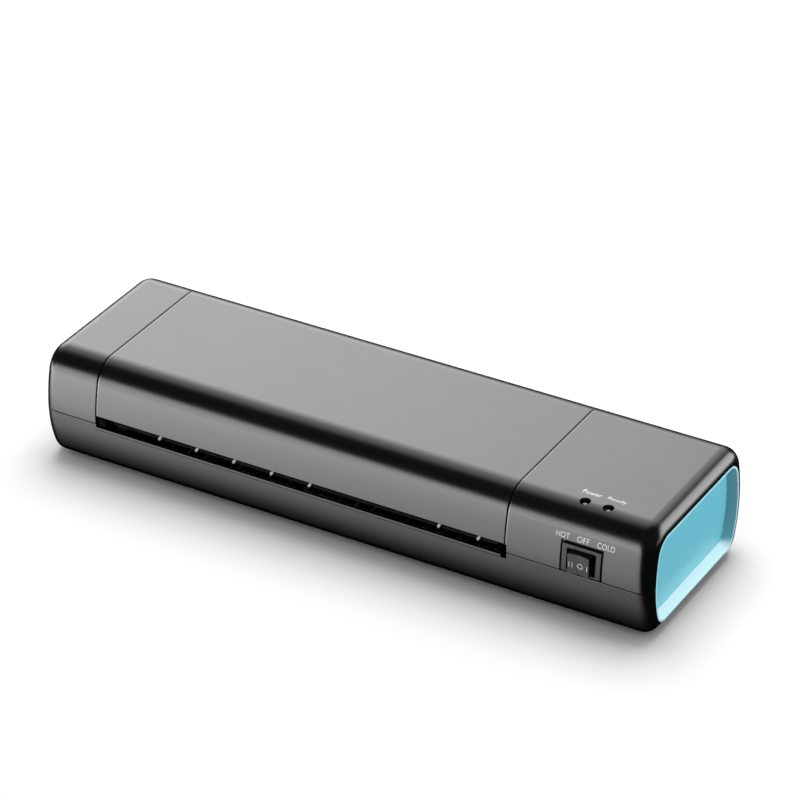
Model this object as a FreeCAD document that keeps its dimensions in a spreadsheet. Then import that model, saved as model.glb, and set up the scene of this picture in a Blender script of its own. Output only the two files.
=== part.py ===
import FreeCAD, Part
import math
import os
import re

import Sketcher
from FreeCAD import Placement, Rotation, Vector
from fcgear import fcgear, involute

# A3 pouch laminator. Millimetres, +Z up, +X along the body towards the switch end, -Y the entry
# side. The origin is on the table, under the middle of the body.

DRIVING_DIMENSIONS = {
    # body shell
    "body_length": 484.8,
    "half_depth": 73.5,
    "body_top": 88.0,
    "body_bottom": 2.5,
    "belly_height": 43.5,
    "upper_wall_radius": 117.0,
    "lower_wall_radius": 85.0,
    "top_corner": 20.0,
    "bottom_corner": 14.0,
    "end_round": 11.0,
    "shell_wall": 2.5,
    "mount_inset": 1.0,
    "edge_round": 0.5,
    "seam_gap": 0.8,
    # pouch path
    "slot_left": -196.6,
    "slot_right": 133.4,
    "slot_floor": 42.0,
    "slot_roof": 49.0,
    "lip_line": 40.0,
    "parting": 42.6,
    "path_height": 45.5,
    "rib_pitch": 30.8,
    "rib_width": 1.0,
    # end caps
    "cap_inset": 10.3,
    "cap_bottom_inset": 6.8,
    "cap_top_corner": 14.0,
    "cap_bottom_corner": 12.0,
    "cap_depth": 8.0,
    "cap_rim": 1.5,
    "cap_draft": 1.0,
    "tray_corner": 6.0,
    "cap_floor": 2.0,
    "cap_fit": 0.15,
    "cap_flange": -2.5,
    # roller frame
    "plate_left": -202.0,
    "plate_right": 136.0,
    "plate_thickness": 1.5,
    "plate_foot": 11.1,
    "plate_top": 83.0,
    "roller_place": 18.0,
    "roller_radius": 12.5,
    "roller_spacing": 25.2,
    "core_radius": 7.0,
    "shaft_radius": 4.0,
    "running_gap": 0.05,
    "bush_radius": 6.0,
    # gear train
    "gear_module": 1.38,
    "gear_mesh_gap": 0.36,
    "gear_near": 141.0,
    "gear_width": 6.0,
    "roller_teeth": 18.0,
    "idler_teeth": 20.0,
    "pinion_teeth": 12.0,
    # heater plates
    "heater_front": -38.0,
    "heater_back": 2.0,
    "heater_gap": 1.2,
    "heater_thickness": 5.0,
    "element_thickness": 1.2,
    # motor
    "motor_near": 151.6,
    "motor_length": 18.0,
    "motor_radius": 25.0,
    # switch
    "switch_middle": 191.0,
    "switch_low": 43.4,
    "switch_high": 63.8,
    "switch_face": 73.6,
    "rocker_pivot": 64.0,
    # lamps
    "lamp_one": 182.7,
    "lamp_two": 200.1,
    "lamp_place": 52.4,
    "lamp_hole": 3.9,
    "lamp_foot": 78.0,
    # cord and plug
    "cord_radius": 3.0,
    "cord_exit": 190.0,
    "cord_exit_height": 24.0,
    "pin_radius": 2.0,
    "pin_spacing": 18.6,
    "pin_length": 19.0,
    "plug_height": 13.7,
    "plug_width": 35.3,
    # fasteners and feet
    "screw_radius": 1.75,
    "pilot_radius": 1.8,
    "foot_radius": 8.0,
    "foot_height": 3.5,
}

doc = FreeCAD.newDocument("PouchLaminator")
sheet = doc.addObject("Spreadsheet::Sheet", "Dims")
for row, (alias, number) in enumerate(DRIVING_DIMENSIONS.items(), start=1):
    sheet.set(f"A{row}", alias)
    sheet.set(f"B{row}", str(number))
    sheet.setAlias(f"B{row}", alias)
doc.recompute()

subparts = []

TURN_TO = {
    "x": Rotation(Vector(0, 1, 0), 90),
    "y": Rotation(Vector(1, 0, 0), -90),
    "z": Rotation(),
}


def size(alias):
    """One driving dimension's number, read from the sheet."""
    return sheet.get(alias)


def bind(thing, prop, formula):
    """Bind a property to a formula written in the sheet's aliases."""
    linked = re.sub(r"[a-z][a-z_]+", lambda word: "Dims." + word.group(), str(formula))
    thing.setExpression(prop, linked)


def keep(node, thing):
    """Make an object a sub-part: its label names its file."""
    thing.Label = node
    subparts.append(thing)
    return thing


def block(name, across, along, up):
    """A box between a low and a high formula on each axis."""
    box = doc.addObject("Part::Box", name)
    sides = zip(("Length", "Width", "Height"), "xyz", (across, along, up))
    for side, axis, (low, high) in sides:
        bind(box, side, f"({high}) - ({low})")
        bind(box, f"Placement.Base.{axis}", low)
    return box


def rod(name, axis, centre, ends, radius):
    """A cylinder along one axis; centre gives its place on the other two."""
    cylinder = doc.addObject("Part::Cylinder", name)
    cylinder.Placement = Placement(Vector(), TURN_TO[axis])
    places = dict(zip([other for other in "xyz" if other != axis], centre))
    places[axis] = ends[0]
    for key, place in places.items():
        bind(cylinder, f"Placement.Base.{key}", place)
    bind(cylinder, "Radius", radius)
    bind(cylinder, "Height", f"({ends[1]}) - ({ends[0]})")
    return cylinder


def taper(name, axis, centre, ends, radii):
    """A cone along one axis, from the first radius to the second."""
    cone = doc.addObject("Part::Cone", name)
    cone.Placement = Placement(Vector(), TURN_TO[axis])
    places = dict(zip([other for other in "xyz" if other != axis], centre))
    places[axis] = ends[0]
    for key, place in places.items():
        bind(cone, f"Placement.Base.{key}", place)
    bind(cone, "Radius1", radii[0])
    bind(cone, "Radius2", radii[1])
    bind(cone, "Height", f"({ends[1]}) - ({ends[0]})")
    return cone


def fuse(name, pieces):
    """One solid from several that touch or overlap."""
    joined = doc.addObject("Part::MultiFuse", name)
    joined.Shapes = pieces
    joined.Refine = True
    return joined


def group(name, pieces):
    """Separate solids kept together as one sub-part."""
    together = doc.addObject("Part::Compound", name)
    together.Links = pieces
    return together


def cut(name, base, tools):
    """The base with every tool taken away."""
    result = doc.addObject("Part::Cut", name)
    result.Base = base
    result.Tool = tools[0] if len(tools) == 1 else fuse(name + "Tools", tools)
    result.Refine = True
    return result


def common(name, base, tool):
    """What two solids share."""
    shared = doc.addObject("Part::Common", name)
    shared.Base = base
    shared.Tool = tool
    return shared


def sketch_in(body, name, role, offset="0"):
    """A sketch on one of a body's own origin planes, moved along that plane's normal."""
    sketch = body.newObject("Sketcher::SketchObject", name)
    plane = [feature for feature in body.Origin.OriginFeatures if feature.Role == role][0]
    sketch.AttachmentSupport = [(plane, "")]
    sketch.MapMode = "FlatFace"
    bind(sketch, "AttachmentOffset.Base.z", offset)
    return sketch


def hold(sketch, formula, *constraint):
    """Add a dimension to a sketch and bind it to a formula."""
    index = sketch.addConstraint(Sketcher.Constraint(*constraint))
    bind(sketch, f"Constraints[{index}]", formula)


def arc(centre, radius, low, high):
    """An arc of a circle in a sketch, angles in degrees, anticlockwise."""
    circle = Part.Circle(Vector(centre[0], centre[1], 0), Vector(0, 0, 1), radius)
    return Part.ArcOfCircle(circle, math.radians(low), math.radians(high))


def outline_sizes(kind, extra):
    """The insets and corner radii of the body's, an end cap's or a cap tray floor's outline, each
    as a formula and its present number. Every alias in extra draws the whole outline further in."""
    bases = {
        "body": ([], [], "top_corner", "bottom_corner"),
        "cap": (["cap_inset"], ["cap_bottom_inset"], "cap_top_corner", "cap_bottom_corner"),
        "tray": (
            ["cap_inset", "cap_draft"],
            ["cap_bottom_inset", "cap_draft"],
            "tray_corner",
            "tray_corner",
        ),
    }
    side, low, top_corner, bottom_corner = bases[kind]
    drawn_in = sum(size(alias) for alias in extra)
    text = " + ".join(["0"] + list(extra))
    sizes = {
        "side": (" + ".join([text] + side), drawn_in + sum(size(alias) for alias in side)),
        "low": (" + ".join([text] + low), drawn_in + sum(size(alias) for alias in low)),
        "top_corner": (f"{top_corner} - ({text})", size(top_corner) - drawn_in),
        "bottom_corner": (f"{bottom_corner} - ({text})", size(bottom_corner) - drawn_in),
    }
    return sizes


def corner_centre(level, corner, wall, half, belly):
    """The centre and start angle of a corner arc that meets a flat and a bulging wall."""
    rise = abs(level - belly) - corner
    reach = math.sqrt((wall - corner) ** 2 - rise ** 2)
    return half - wall + reach, math.degrees(math.atan2(rise, reach))


def draw_section(sketch, kind, extra):
    """The body's cross-section, or one drawn in from it: flat top and bottom, round corners,
    and walls that bulge to their widest at the belly height."""
    sizes = outline_sizes(kind, extra)
    side_text, side = sizes["side"]
    low_text, low = sizes["low"]
    top, bottom = size("body_top") - side, size("body_bottom") + low
    half, belly = size("half_depth") - side, size("belly_height")
    upper, lower = size("upper_wall_radius") - side, size("lower_wall_radius") - side
    crown, base = sizes["top_corner"][1], sizes["bottom_corner"][1]
    crown_place, crown_angle = corner_centre(top, crown, upper, half, belly)
    base_place, base_angle = corner_centre(bottom, base, lower, half, belly)
    line = Part.LineSegment
    elements = [
        line(Vector(crown_place, top, 0), Vector(-crown_place, top, 0)),
        arc((-crown_place, top - crown), crown, 90, 180 - crown_angle),
        arc((upper - half, belly), upper, 180 - crown_angle, 180),
        arc((lower - half, belly), lower, 180, 180 + base_angle),
        arc((-base_place, bottom + base), base, 180 + base_angle, 270),
        line(Vector(-base_place, bottom, 0), Vector(base_place, bottom, 0)),
        arc((base_place, bottom + base), base, 270, 360 - base_angle),
        arc((half - lower, belly), lower, 360 - base_angle, 360),
        arc((half - upper, belly), upper, 0, crown_angle),
        arc((crown_place, top - crown), crown, crown_angle, 90),
    ]
    sketch.addGeometry(elements, False)
    for here in range(len(elements)):
        after = (here + 1) % len(elements)
        sketch.addConstraint(Sketcher.Constraint("Tangent", here, 2, after, 1))
    sketch.addConstraint(Sketcher.Constraint("Horizontal", 0))
    sketch.addConstraint(Sketcher.Constraint("Horizontal", 5))
    for element, corner in ((1, "top"), (9, "top"), (4, "bottom"), (6, "bottom")):
        text, radius = sizes[corner + "_corner"]
        hold(sketch, text, "Radius", element, radius)
    walls = ((2, "upper", upper), (8, "upper", upper), (3, "lower", lower), (7, "lower", lower))
    for element, wall, radius in walls:
        hold(sketch, f"{wall}_wall_radius - ({side_text})", "Radius", element, radius)
        hold(sketch, "belly_height", "DistanceY", -1, 1, element, 3, belly)
    hold(sketch, f"body_top - ({side_text})", "DistanceY", -1, 1, 0, 1, top)
    hold(sketch, f"body_bottom + {low_text}", "DistanceY", -1, 1, 5, 1, bottom)
    hold(sketch, f"half_depth - ({side_text})", "DistanceX", -1, 1, 7, 2, half)
    hold(sketch, f"half_depth - ({side_text})", "DistanceX", 2, 2, -1, 1, half)


def section_bar(name, ends, kind="body", extra=()):
    """A bar of the body's or a cap's cross-section along X, between two formulas."""
    body = doc.addObject("PartDesign::Body", name)
    sketch = sketch_in(body, name + "Section", "YZ_Plane", ends[0])
    draw_section(sketch, kind, extra)
    pad = body.newObject("PartDesign::Pad", name + "Pad")
    pad.Profile = sketch
    bind(pad, "Length", f"({ends[1]}) - ({ends[0]})")
    return body


def tapered_bar(name, sections):
    """A bar that runs between two outlines, each given as (kind, extra, place along X)."""
    body = doc.addObject("PartDesign::Body", name)
    sketches = []
    for n, (kind, extra, place) in enumerate(sections):
        sketch = sketch_in(body, f"{name}Section{n}", "YZ_Plane", place)
        draw_section(sketch, kind, extra)
        sketches.append(sketch)
    loft = body.newObject("PartDesign::AdditiveLoft", name + "Loft")
    loft.Profile = sketches[0]
    loft.Sections = sketches[1:]
    loft.Ruled = True
    return body


def rounded_bar(name, extra, length, radius):
    """A section bar centred on the origin, with both ends rounded over."""
    body = section_bar(name, (f"-({length}) / 2", f"({length}) / 2"), "body", extra)
    doc.recompute()
    pad = body.Tip
    ends = [
        f"Edge{number}"
        for number, edge in enumerate(pad.Shape.Edges, start=1)
        if edge.BoundBox.XLength < 0.01
    ]
    fillet = body.newObject("PartDesign::Fillet", name + "Ends")
    fillet.Base = (pad, ends)
    bind(fillet, "Radius", radius)
    body.Tip = fillet
    return body


def soften(name, piece, outside, planes):
    """Round the outside edges of a shell that lie in the given planes, each (axis, place)."""
    doc.recompute()
    skin = outside.Shape.Shells[0]
    picked = []
    for number, edge in enumerate(piece.Shape.Edges, start=1):
        box = edge.BoundBox
        spans = {"x": (box.XMin, box.XMax), "z": (box.ZMin, box.ZMax)}
        in_plane = any(
            abs(spans[axis][0] - place) < 0.02 and abs(spans[axis][1] - place) < 0.02
            for axis, place in planes
        )
        middle = edge.valueAt((edge.FirstParameter + edge.LastParameter) / 2)
        if in_plane and skin.distToShape(Part.Vertex(middle))[0] < 0.01:
            picked.append(number)
    rounded = doc.addObject("Part::Fillet", name)
    rounded.Base = piece
    rounded.Edges = [(number, size("edge_round"), size("edge_round")) for number in picked]
    return rounded


def screw(name, axis, centre, seat, tip, head=(3.5, 2.2)):
    """A pan-head screw from its seat to its tip; the head stands on the other side."""
    way = 1 if tip > seat else -1
    shank_ends = sorted((seat, tip))
    head_ends = sorted((seat, seat - way * head[1]))
    shank = rod(name + "Shank", axis, centre, shank_ends, "screw_radius")
    top = rod(name + "Head", axis, centre, head_ends, head[0])
    socket_ends = sorted((seat - way * head[1], seat - way * head[1] * 0.45))
    socket = rod(name + "Socket", axis, centre, socket_ends, 1.1)
    return cut(name, fuse(name + "Blank", [shank, top]), [socket])


def pipe(name, start, heading, moves, radius):
    """A round cord laid from a start point. A move of one number goes straight on that far; a
    move of (bend radius, degrees, direction) bends towards the direction."""
    place, ahead = Vector(*start), Vector(*heading)
    ring = Part.makeCircle(radius, place, ahead)
    edges = []
    for move in moves:
        if isinstance(move, tuple):
            bend, degrees, towards = move
            centre = place + Vector(*towards) * bend
            axis = ahead.cross(Vector(*towards))
            spoke = place - centre
            middle = centre + Rotation(axis, degrees / 2).multVec(spoke)
            end = centre + Rotation(axis, degrees).multVec(spoke)
            edges.append(Part.Arc(place, middle, end).toShape())
            ahead = Rotation(axis, degrees).multVec(ahead)
        else:
            end = place + ahead * move
            edges.append(Part.makeLine(place, end))
        place = end
    cord = doc.addObject("Part::Feature", name)
    cord.Shape = Part.Wire(edges).makePipe(Part.Face(Part.Wire([ring])))
    return cord


def level_change(rise, bend):
    """The angle of an S-bend that changes level by the rise with two bends of one radius."""
    return math.degrees(math.acos(1 - abs(rise) / (2 * bend)))


# ---------------------------------------------------------------- casing

outside = rounded_bar("Outside", (), "body_length", "end_round")
inside = rounded_bar("Inside", ("shell_wall",), "body_length - 2 * shell_wall", "end_round - shell_wall")
shell = cut("Shell", outside, [inside])
half_skin = rounded_bar(
    "HalfSkin", ("mount_inset",), "body_length - 2 * mount_inset", "end_round - mount_inset"
)

HALF_GAP = "seam_gap / 2"
FAR = "body_length / 2 + 10"

# Screw posts: centre cover posts stand at the slot's ends, clear of the widest pouch.
CENTRE_POSTS = [(x, y) for x in (-192.1, 128.9) for y in (-60.0, 60.0)]
LEFT_POSTS = [(-222.6, y) for y in (-50.0, 50.0)]
RIGHT_POSTS = [(223.4, y) for y in (-50.0, 50.0)]
POST_RADIUS = 3.6
FRAME_BOSSES = [(x, y) for x in (-209.0, 144.5) for y in (-46.0, 46.0)]
BOARD_BOSSES = [(x, y) for x in (184.0, 214.0) for y in (-32.0, 32.0)]
LAMP_POSTS = [(176.4, -51.4), (206.4, -51.4)]


def cap_opening(name, side):
    """A bar of the end cap's outline, from inside the shell to beyond the body's end."""
    ends = ("body_length / 2 - 20", FAR)
    if side < 0:
        ends = (f"-({FAR})", "-body_length / 2 + 20")
    return section_bar(name, ends, "cap")


def posts(name, places, low, high, radius=POST_RADIUS):
    """Upright posts at the given places, with blind pilot holes from below."""
    solid = [rod(f"{name}Post{n}", "z", place, (low, high), radius) for n, place in enumerate(places)]
    holes = [
        rod(f"{name}Pilot{n}", "z", place, (f"{low} - 1", f"{low} + 16"), "pilot_radius")
        for n, place in enumerate(places)
    ]
    return solid, holes


def centre_cover():
    """The middle cover, between the seams: top, front and rear walls down to the slots."""
    region = block(
        "CentreRegion",
        (f"slot_left + {HALF_GAP}", f"slot_right - {HALF_GAP}"),
        ("-half_depth - 5", "half_depth + 5"),
        ("slot_roof", "body_top + 5"),
    )
    skin = common("CentreSkin", shell, region)
    planes = [
        ("x", size("slot_left") + size("seam_gap") / 2),
        ("x", size("slot_right") - size("seam_gap") / 2),
        ("z", size("slot_roof")),
    ]
    smooth = soften("CentreSoft", skin, outside, planes)
    stems, pilots = posts("Centre", CENTRE_POSTS, "parting + 0.2", "body_top - shell_wall - 6")
    trimmed = common("CentreStems", fuse("CentreStemSet", stems), inside)
    ribs = [
        block(f"CentreRib{n}", (x - 0.8, x + 0.8), (-50, 50), ("body_top - 8", "body_top - 2"))
        for n, x in enumerate((-140, -90, -40, 10, 60, 110))
    ]
    webs = [
        block(f"CentreWeb{n}", (x - 2, x + 2), sorted((y, y * 0.9)), ("body_top - 30", "body_top - 2"))
        for n, (x, y) in enumerate(CENTRE_POSTS)
    ]
    inner = common("CentreWebs", fuse("CentreWebSet", ribs + webs + stems), inside)
    whole = fuse("CentreWhole", [smooth, inner, trimmed])
    keep("centre_cover", cut("CentreCover", whole, pilots))


def end_cover(node, side, places):
    """A cover over one end compartment, from its seam to the end cap."""
    name = "LeftCover" if side < 0 else "RightCover"
    seam = f"slot_left - {HALF_GAP}" if side < 0 else f"slot_right + {HALF_GAP}"
    ends = (f"-({FAR})", seam) if side < 0 else (seam, FAR)
    region = block(
        name + "Region", ends, ("-half_depth - 5", "half_depth + 5"), ("parting + 0.15", "body_top + 5")
    )
    skin = common(name + "Skin", shell, region)
    opened = cut(name + "Opened", skin, [cap_opening(name + "Cap", side)])
    seam_place = size("slot_left") - size("seam_gap") / 2
    if side > 0:
        seam_place = size("slot_right") + size("seam_gap") / 2
    planes = [("x", seam_place), ("z", size("parting") + 0.15)]
    smooth = soften(name + "Soft", opened, outside, planes)
    stems, pilots = posts(name, places, "parting + 0.2", "body_top - 1")
    inner = common(name + "Stems", fuse(name + "StemSet", stems), inside)
    pieces = [smooth, inner]
    holes = pilots
    if side > 0:
        pieces.append(common("SwitchMount", fuse("SwitchMountSet", switch_pan()), half_skin))
        holes += switch_holes() + lamp_holes() + slot_end_notch("RightNotch")
    keep(node, cut(name, fuse(name + "Whole", pieces), holes))


def switch_pan():
    """The sunk panel that carries the switch, and the posts that carry the lamp board."""
    pan = block(
        "SwitchPan",
        ("switch_middle - 18", "switch_middle + 18"),
        ("-half_depth", "-half_depth + 6"),
        ("parting + 0.15", "switch_high + 4.6"),
    )
    stems = [
        rod(f"LampPost{n}", "z", place, ("lamp_foot", "body_top - 1"), 2.6)
        for n, place in enumerate(LAMP_POSTS)
    ]
    return [pan] + stems


def switch_holes():
    """The recess around the switch's bezel and the opening for its body."""
    recess = block(
        "SwitchRecess",
        ("switch_middle - 15.9", "switch_middle + 16.2"),
        ("-half_depth - 5", "-half_depth + 4"),
        ("parting - 1", "switch_high + 2.7"),
    )
    opening = block(
        "SwitchOpening",
        ("switch_middle - 12.6", "switch_middle + 12.6"),
        ("-half_depth - 5", "-half_depth + 9"),
        ("parting - 1", "switch_high - 0.4"),
    )
    return [recess, opening]


def slot_end_notch(name):
    """A small notch under the slot's front right end, where cover and housing meet."""
    return [
        block(
            name,
            ("slot_right - 3", "slot_right + 1.6"),
            ("-half_depth - 5", "-half_depth + 8"),
            ("lip_line - 2.2", "slot_roof"),
        )
    ]


def lip_groove():
    """A fine shadow line across the front of the lip under the entry slot."""
    return [
        block(
            "LipGroove",
            ("slot_left", "slot_right"),
            ("-half_depth - 5", "-half_depth + 0.5"),
            ("lip_line - 2.2", "lip_line - 1.8"),
        )
    ]


def lamp_holes():
    """The two lamp holes through the top, and the pilot holes in the lamp board's posts."""
    holes = [
        rod(f"LampHole{n}", "z", (place, "-lamp_place"), ("body_top - 5", "body_top + 2"), "lamp_hole")
        for n, place in enumerate(("lamp_one", "lamp_two"))
    ]
    pilots = [
        rod(f"LampPilot{n}", "z", place, ("lamp_foot - 1", "lamp_foot + 6"), 1.3)
        for n, place in enumerate(LAMP_POSTS)
    ]
    return holes + pilots


def lower_housing():
    """The lower shell: floor, walls up to the parting line, screw bosses and vents."""
    region = block(
        "LowerRegion", (f"-({FAR})", FAR), ("-half_depth - 5", "half_depth + 5"), (-5, "parting - 0.15")
    )
    skin = common("LowerSkin", shell, region)
    caps = [cap_opening("LowerCapRight", 1), cap_opening("LowerCapLeft", -1)]
    lips = [
        block(f"LipCut{n}", ("slot_left", "slot_right"), along, ("lip_line", "parting + 5"))
        for n, along in enumerate((("-half_depth - 5", -50), (50, "half_depth + 5")))
    ]
    opened = cut("LowerOpened", skin, caps + lips)
    planes = [("z", size("parting") - 0.15), ("z", size("lip_line"))]
    smooth = soften("LowerSoft", opened, outside, planes)
    fixings = CENTRE_POSTS + LEFT_POSTS + RIGHT_POSTS
    tubes = [
        rod(f"HousingTube{n}", "z", place, ("body_bottom + 0.5", "parting - 0.4"), 4.4)
        for n, place in enumerate(fixings)
    ]
    pads = [
        rod(f"FrameBoss{n}", "z", place, ("body_bottom + 0.5", "plate_foot - 0.1"), 4.0)
        for n, place in enumerate(FRAME_BOSSES)
    ]
    stands = [
        rod(f"BoardBoss{n}", "z", place, ("body_bottom + 0.5", 13.9), 3.2)
        for n, place in enumerate(BOARD_BOSSES)
    ]
    inner = common("LowerStems", fuse("LowerStemSet", tubes + pads + stands), inside)
    cord_pad = rod("CordPad", "y", ("cord_exit", "cord_exit_height"), (66, 73), 9)
    whole = fuse("LowerWhole", [smooth, inner, cord_pad])
    wells = [rod(f"Well{n}", "z", place, (0, 33), 3.8) for n, place in enumerate(fixings)]
    ways = [rod(f"Way{n}", "z", place, (30, "parting + 1"), 1.95) for n, place in enumerate(fixings)]
    pilots = [
        rod(f"LowPilot{n}", "z", place, ("body_bottom + 1.2", 20), "pilot_radius")
        for n, place in enumerate(FRAME_BOSSES + BOARD_BOSSES)
    ]
    seats = [
        rod(f"FootSeat{n}", "z", place, (0, "body_bottom + 1"), "foot_radius + 0.1")
        for n, place in enumerate(foot_places())
    ]
    cord_hole = rod("CordHole", "y", ("cord_exit", "cord_exit_height"), (60, 80), 5.6)
    tools = wells + ways + pilots + seats + floor_vents() + rear_vents() + [cord_hole]
    tools += lip_groove() + slot_end_notch("LowerNotch")
    keep("lower_housing", cut("LowerHousing", whole, tools))


def foot_places():
    """Where the four feet stand."""
    return [(x, y) for x in (-205.0, 205.0) for y in (-42.0, 42.0)]


def floor_vents():
    """Two rows of cooling slots through the floor, under the heater plates."""
    return [
        block(f"FloorVent{row}{n}", (x, x + 5), along, (-1, "body_bottom + shell_wall + 1"))
        for row, along in enumerate(((-44, -14), (10, 40)))
        for n, x in enumerate(range(-170, 110, 14))
    ]


def rear_vents():
    """A row of upright cooling slots low in the rear wall, behind the motor."""
    return [
        block(f"RearVent{n}", (x, x + 3), (60, 80), (16, 34))
        for n, x in enumerate(range(-150, 84, 9))
    ]


def end_cap(node, side):
    """A coloured tray set into the body's end, its walls leaning in to the floor, held by a
    flange behind the shell."""
    name = "LeftCap" if side < 0 else "RightCap"
    half = "body_length / 2"
    back = "cap_depth + cap_floor"
    spans = {
        "Outer": (("cap_fit",), (f"{half} - ({back})", half)),
        "Flange": (("cap_flange",), (f"{half} - ({back})", f"{half} - ({back}) + 1.6")),
    }
    bars = {}
    for part, (extra, (low, high)) in spans.items():
        ends = (low, high) if side > 0 else (f"-({high})", f"-({low})")
        bars[part] = section_bar(name + part, ends, "cap", extra)
    blank = fuse(name + "Blank", [bars["Outer"], bars["Flange"]])
    sign = "" if side > 0 else "-"
    within = ("cap_fit", "cap_rim")
    hollow = tapered_bar(
        name + "Hollow",
        [("tray", within, f"{sign}({half} - cap_depth)"), ("cap", within, f"{sign}({half})")],
    )
    keep(node, cut(name, blank, [hollow]))


def feet():
    """Four rubber feet, let into the floor."""
    pieces = []
    for n, place in enumerate(foot_places()):
        base = taper(f"FootBase{n}", "z", place, (0, 1), ("foot_radius - 0.8", "foot_radius"))
        top = rod(f"FootTop{n}", "z", place, (1, "foot_height - 0.05"), "foot_radius")
        pieces.append(fuse(f"Foot{n}", [base, top]))
    keep("rubber_feet", group("Feet", pieces))


def casing_screws():
    """The screws that hold the covers down, driven from below through deep wells."""
    fixings = CENTRE_POSTS + LEFT_POSTS + RIGHT_POSTS
    screws = [screw(f"CasingScrew{n}", "z", place, 33.0, 55.0) for n, place in enumerate(fixings)]
    keep("housing_screws", group("HousingScrews", screws))


# ---------------------------------------------------------------- pouch guides


def rib_starts():
    """The guide ribs' places along the slot: five near its left end and two near its right."""
    left = [-147.2 + n * size("rib_pitch") for n in range(5)]
    right = [78.8 + n * size("rib_pitch") for n in range(2)]
    return left + right


def guide_rib(name, place, side, inner):
    """A thin rib on a guide plate that bridges the gap behind the lip and rises towards the
    rollers."""
    body = doc.addObject("PartDesign::Body", name)
    sketch = sketch_in(body, name + "Side", "YZ_Plane", f"{place} - rib_width / 2")
    near, far = side * 70.2, side * inner
    floor = size("slot_floor")
    crest = (side * 66.5, floor + 1.0)
    corners = [(near, floor - 0.9), (far, floor - 0.9), (far, floor + 1.6), crest]
    for n, corner in enumerate(corners):
        after = corners[(n + 1) % len(corners)]
        sketch.addGeometry(Part.LineSegment(Vector(*corner, 0), Vector(*after, 0)), False)
    for n in range(len(corners)):
        after = (n + 1) % len(corners)
        sketch.addConstraint(Sketcher.Constraint("Coincident", n, 2, after, 1))
    pad = body.newObject("PartDesign::Pad", name + "Pad")
    pad.Profile = sketch
    bind(pad, "Length", "rib_width")
    return body


def guides(where, side, inner):
    """The entry (side -1) or exit (side 1) guide plates; inner is their inner edge's distance."""
    name = where.title()
    floor = block(
        name + "Floor",
        ("slot_left + 0.3", "slot_right - 0.3"),
        sorted((side * 65.0, side * inner)),
        ("lip_line + 0.25", "slot_floor"),
    )
    posts_clear = [
        block(f"{name}Clear{n}", (x - 5, x + 5), sorted((side * 54.9, side * 66)), (20, 70))
        for n, (x, y) in enumerate(CENTRE_POSTS)
        if y * side > 0
    ]
    ribs = [
        guide_rib(f"{name}Rib{n}", x, side, inner) for n, x in enumerate(rib_starts())
    ]
    lower = fuse(name + "Ribbed", [floor] + ribs)
    keep(f"lower_{where}_guide", cut(f"Lower{name}Guide", lower, posts_clear))
    roof = block(
        name + "Roof",
        ("slot_left + 1", "slot_right - 1"),
        sorted((side * 69.6, side * inner)),
        ("slot_roof", "slot_roof + 1.4"),
    )
    lead = block(
        name + "Lead",
        ("slot_left + 10", "slot_right - 10"),
        sorted((side * inner, side * (inner + 2))),
        ("slot_roof - 1.4", "slot_roof + 1.4"),
    )
    upper = fuse(name + "RoofLead", [roof, lead])
    clear = [
        rod(f"{name}RoofClear{n}", "z", place, (40, 70), 4.2) for n, place in enumerate(CENTRE_POSTS)
    ]
    webs_clear = [
        block(f"{name}WebClear{n}", (x - 2.4, x + 2.4), sorted((y, y * 0.75)), (40, 70))
        for n, (x, y) in enumerate(CENTRE_POSTS)
    ]
    keep(f"upper_{where}_guide", cut(f"Upper{name}Guide", upper, clear + webs_clear))


# ---------------------------------------------------------------- roller frame

LOWER_AXIS = "path_height - roller_spacing / 2"
UPPER_AXIS = "path_height + roller_spacing / 2"
ROLLER_CENTRES = {"lower": ("roller_place", LOWER_AXIS), "upper": ("roller_place", UPPER_AXIS)}
TIE_PLACES = [(-50.0, 20.0), (-50.0, 72.0), (46.0, 72.0)]
HEATER_MIDDLE = "(heater_front + heater_back) / 2"
LOWER_HEATER = ("path_height - heater_gap - heater_thickness", "path_height - heater_gap")
UPPER_HEATER = ("path_height + heater_gap", "path_height + heater_gap + heater_thickness")
IDLER_PLACE = "roller_place - (roller_teeth + idler_teeth) * gear_module / 2 - gear_mesh_gap / 2"
MOTOR_PLACE = f"{IDLER_PLACE} - (idler_teeth + pinion_teeth) * gear_module / 2 - gear_mesh_gap / 2"
BRACKET_POSTS = [(-57.8, 14.5), (-56.0, 54.0), (-2.0, 54.0)]


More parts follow.
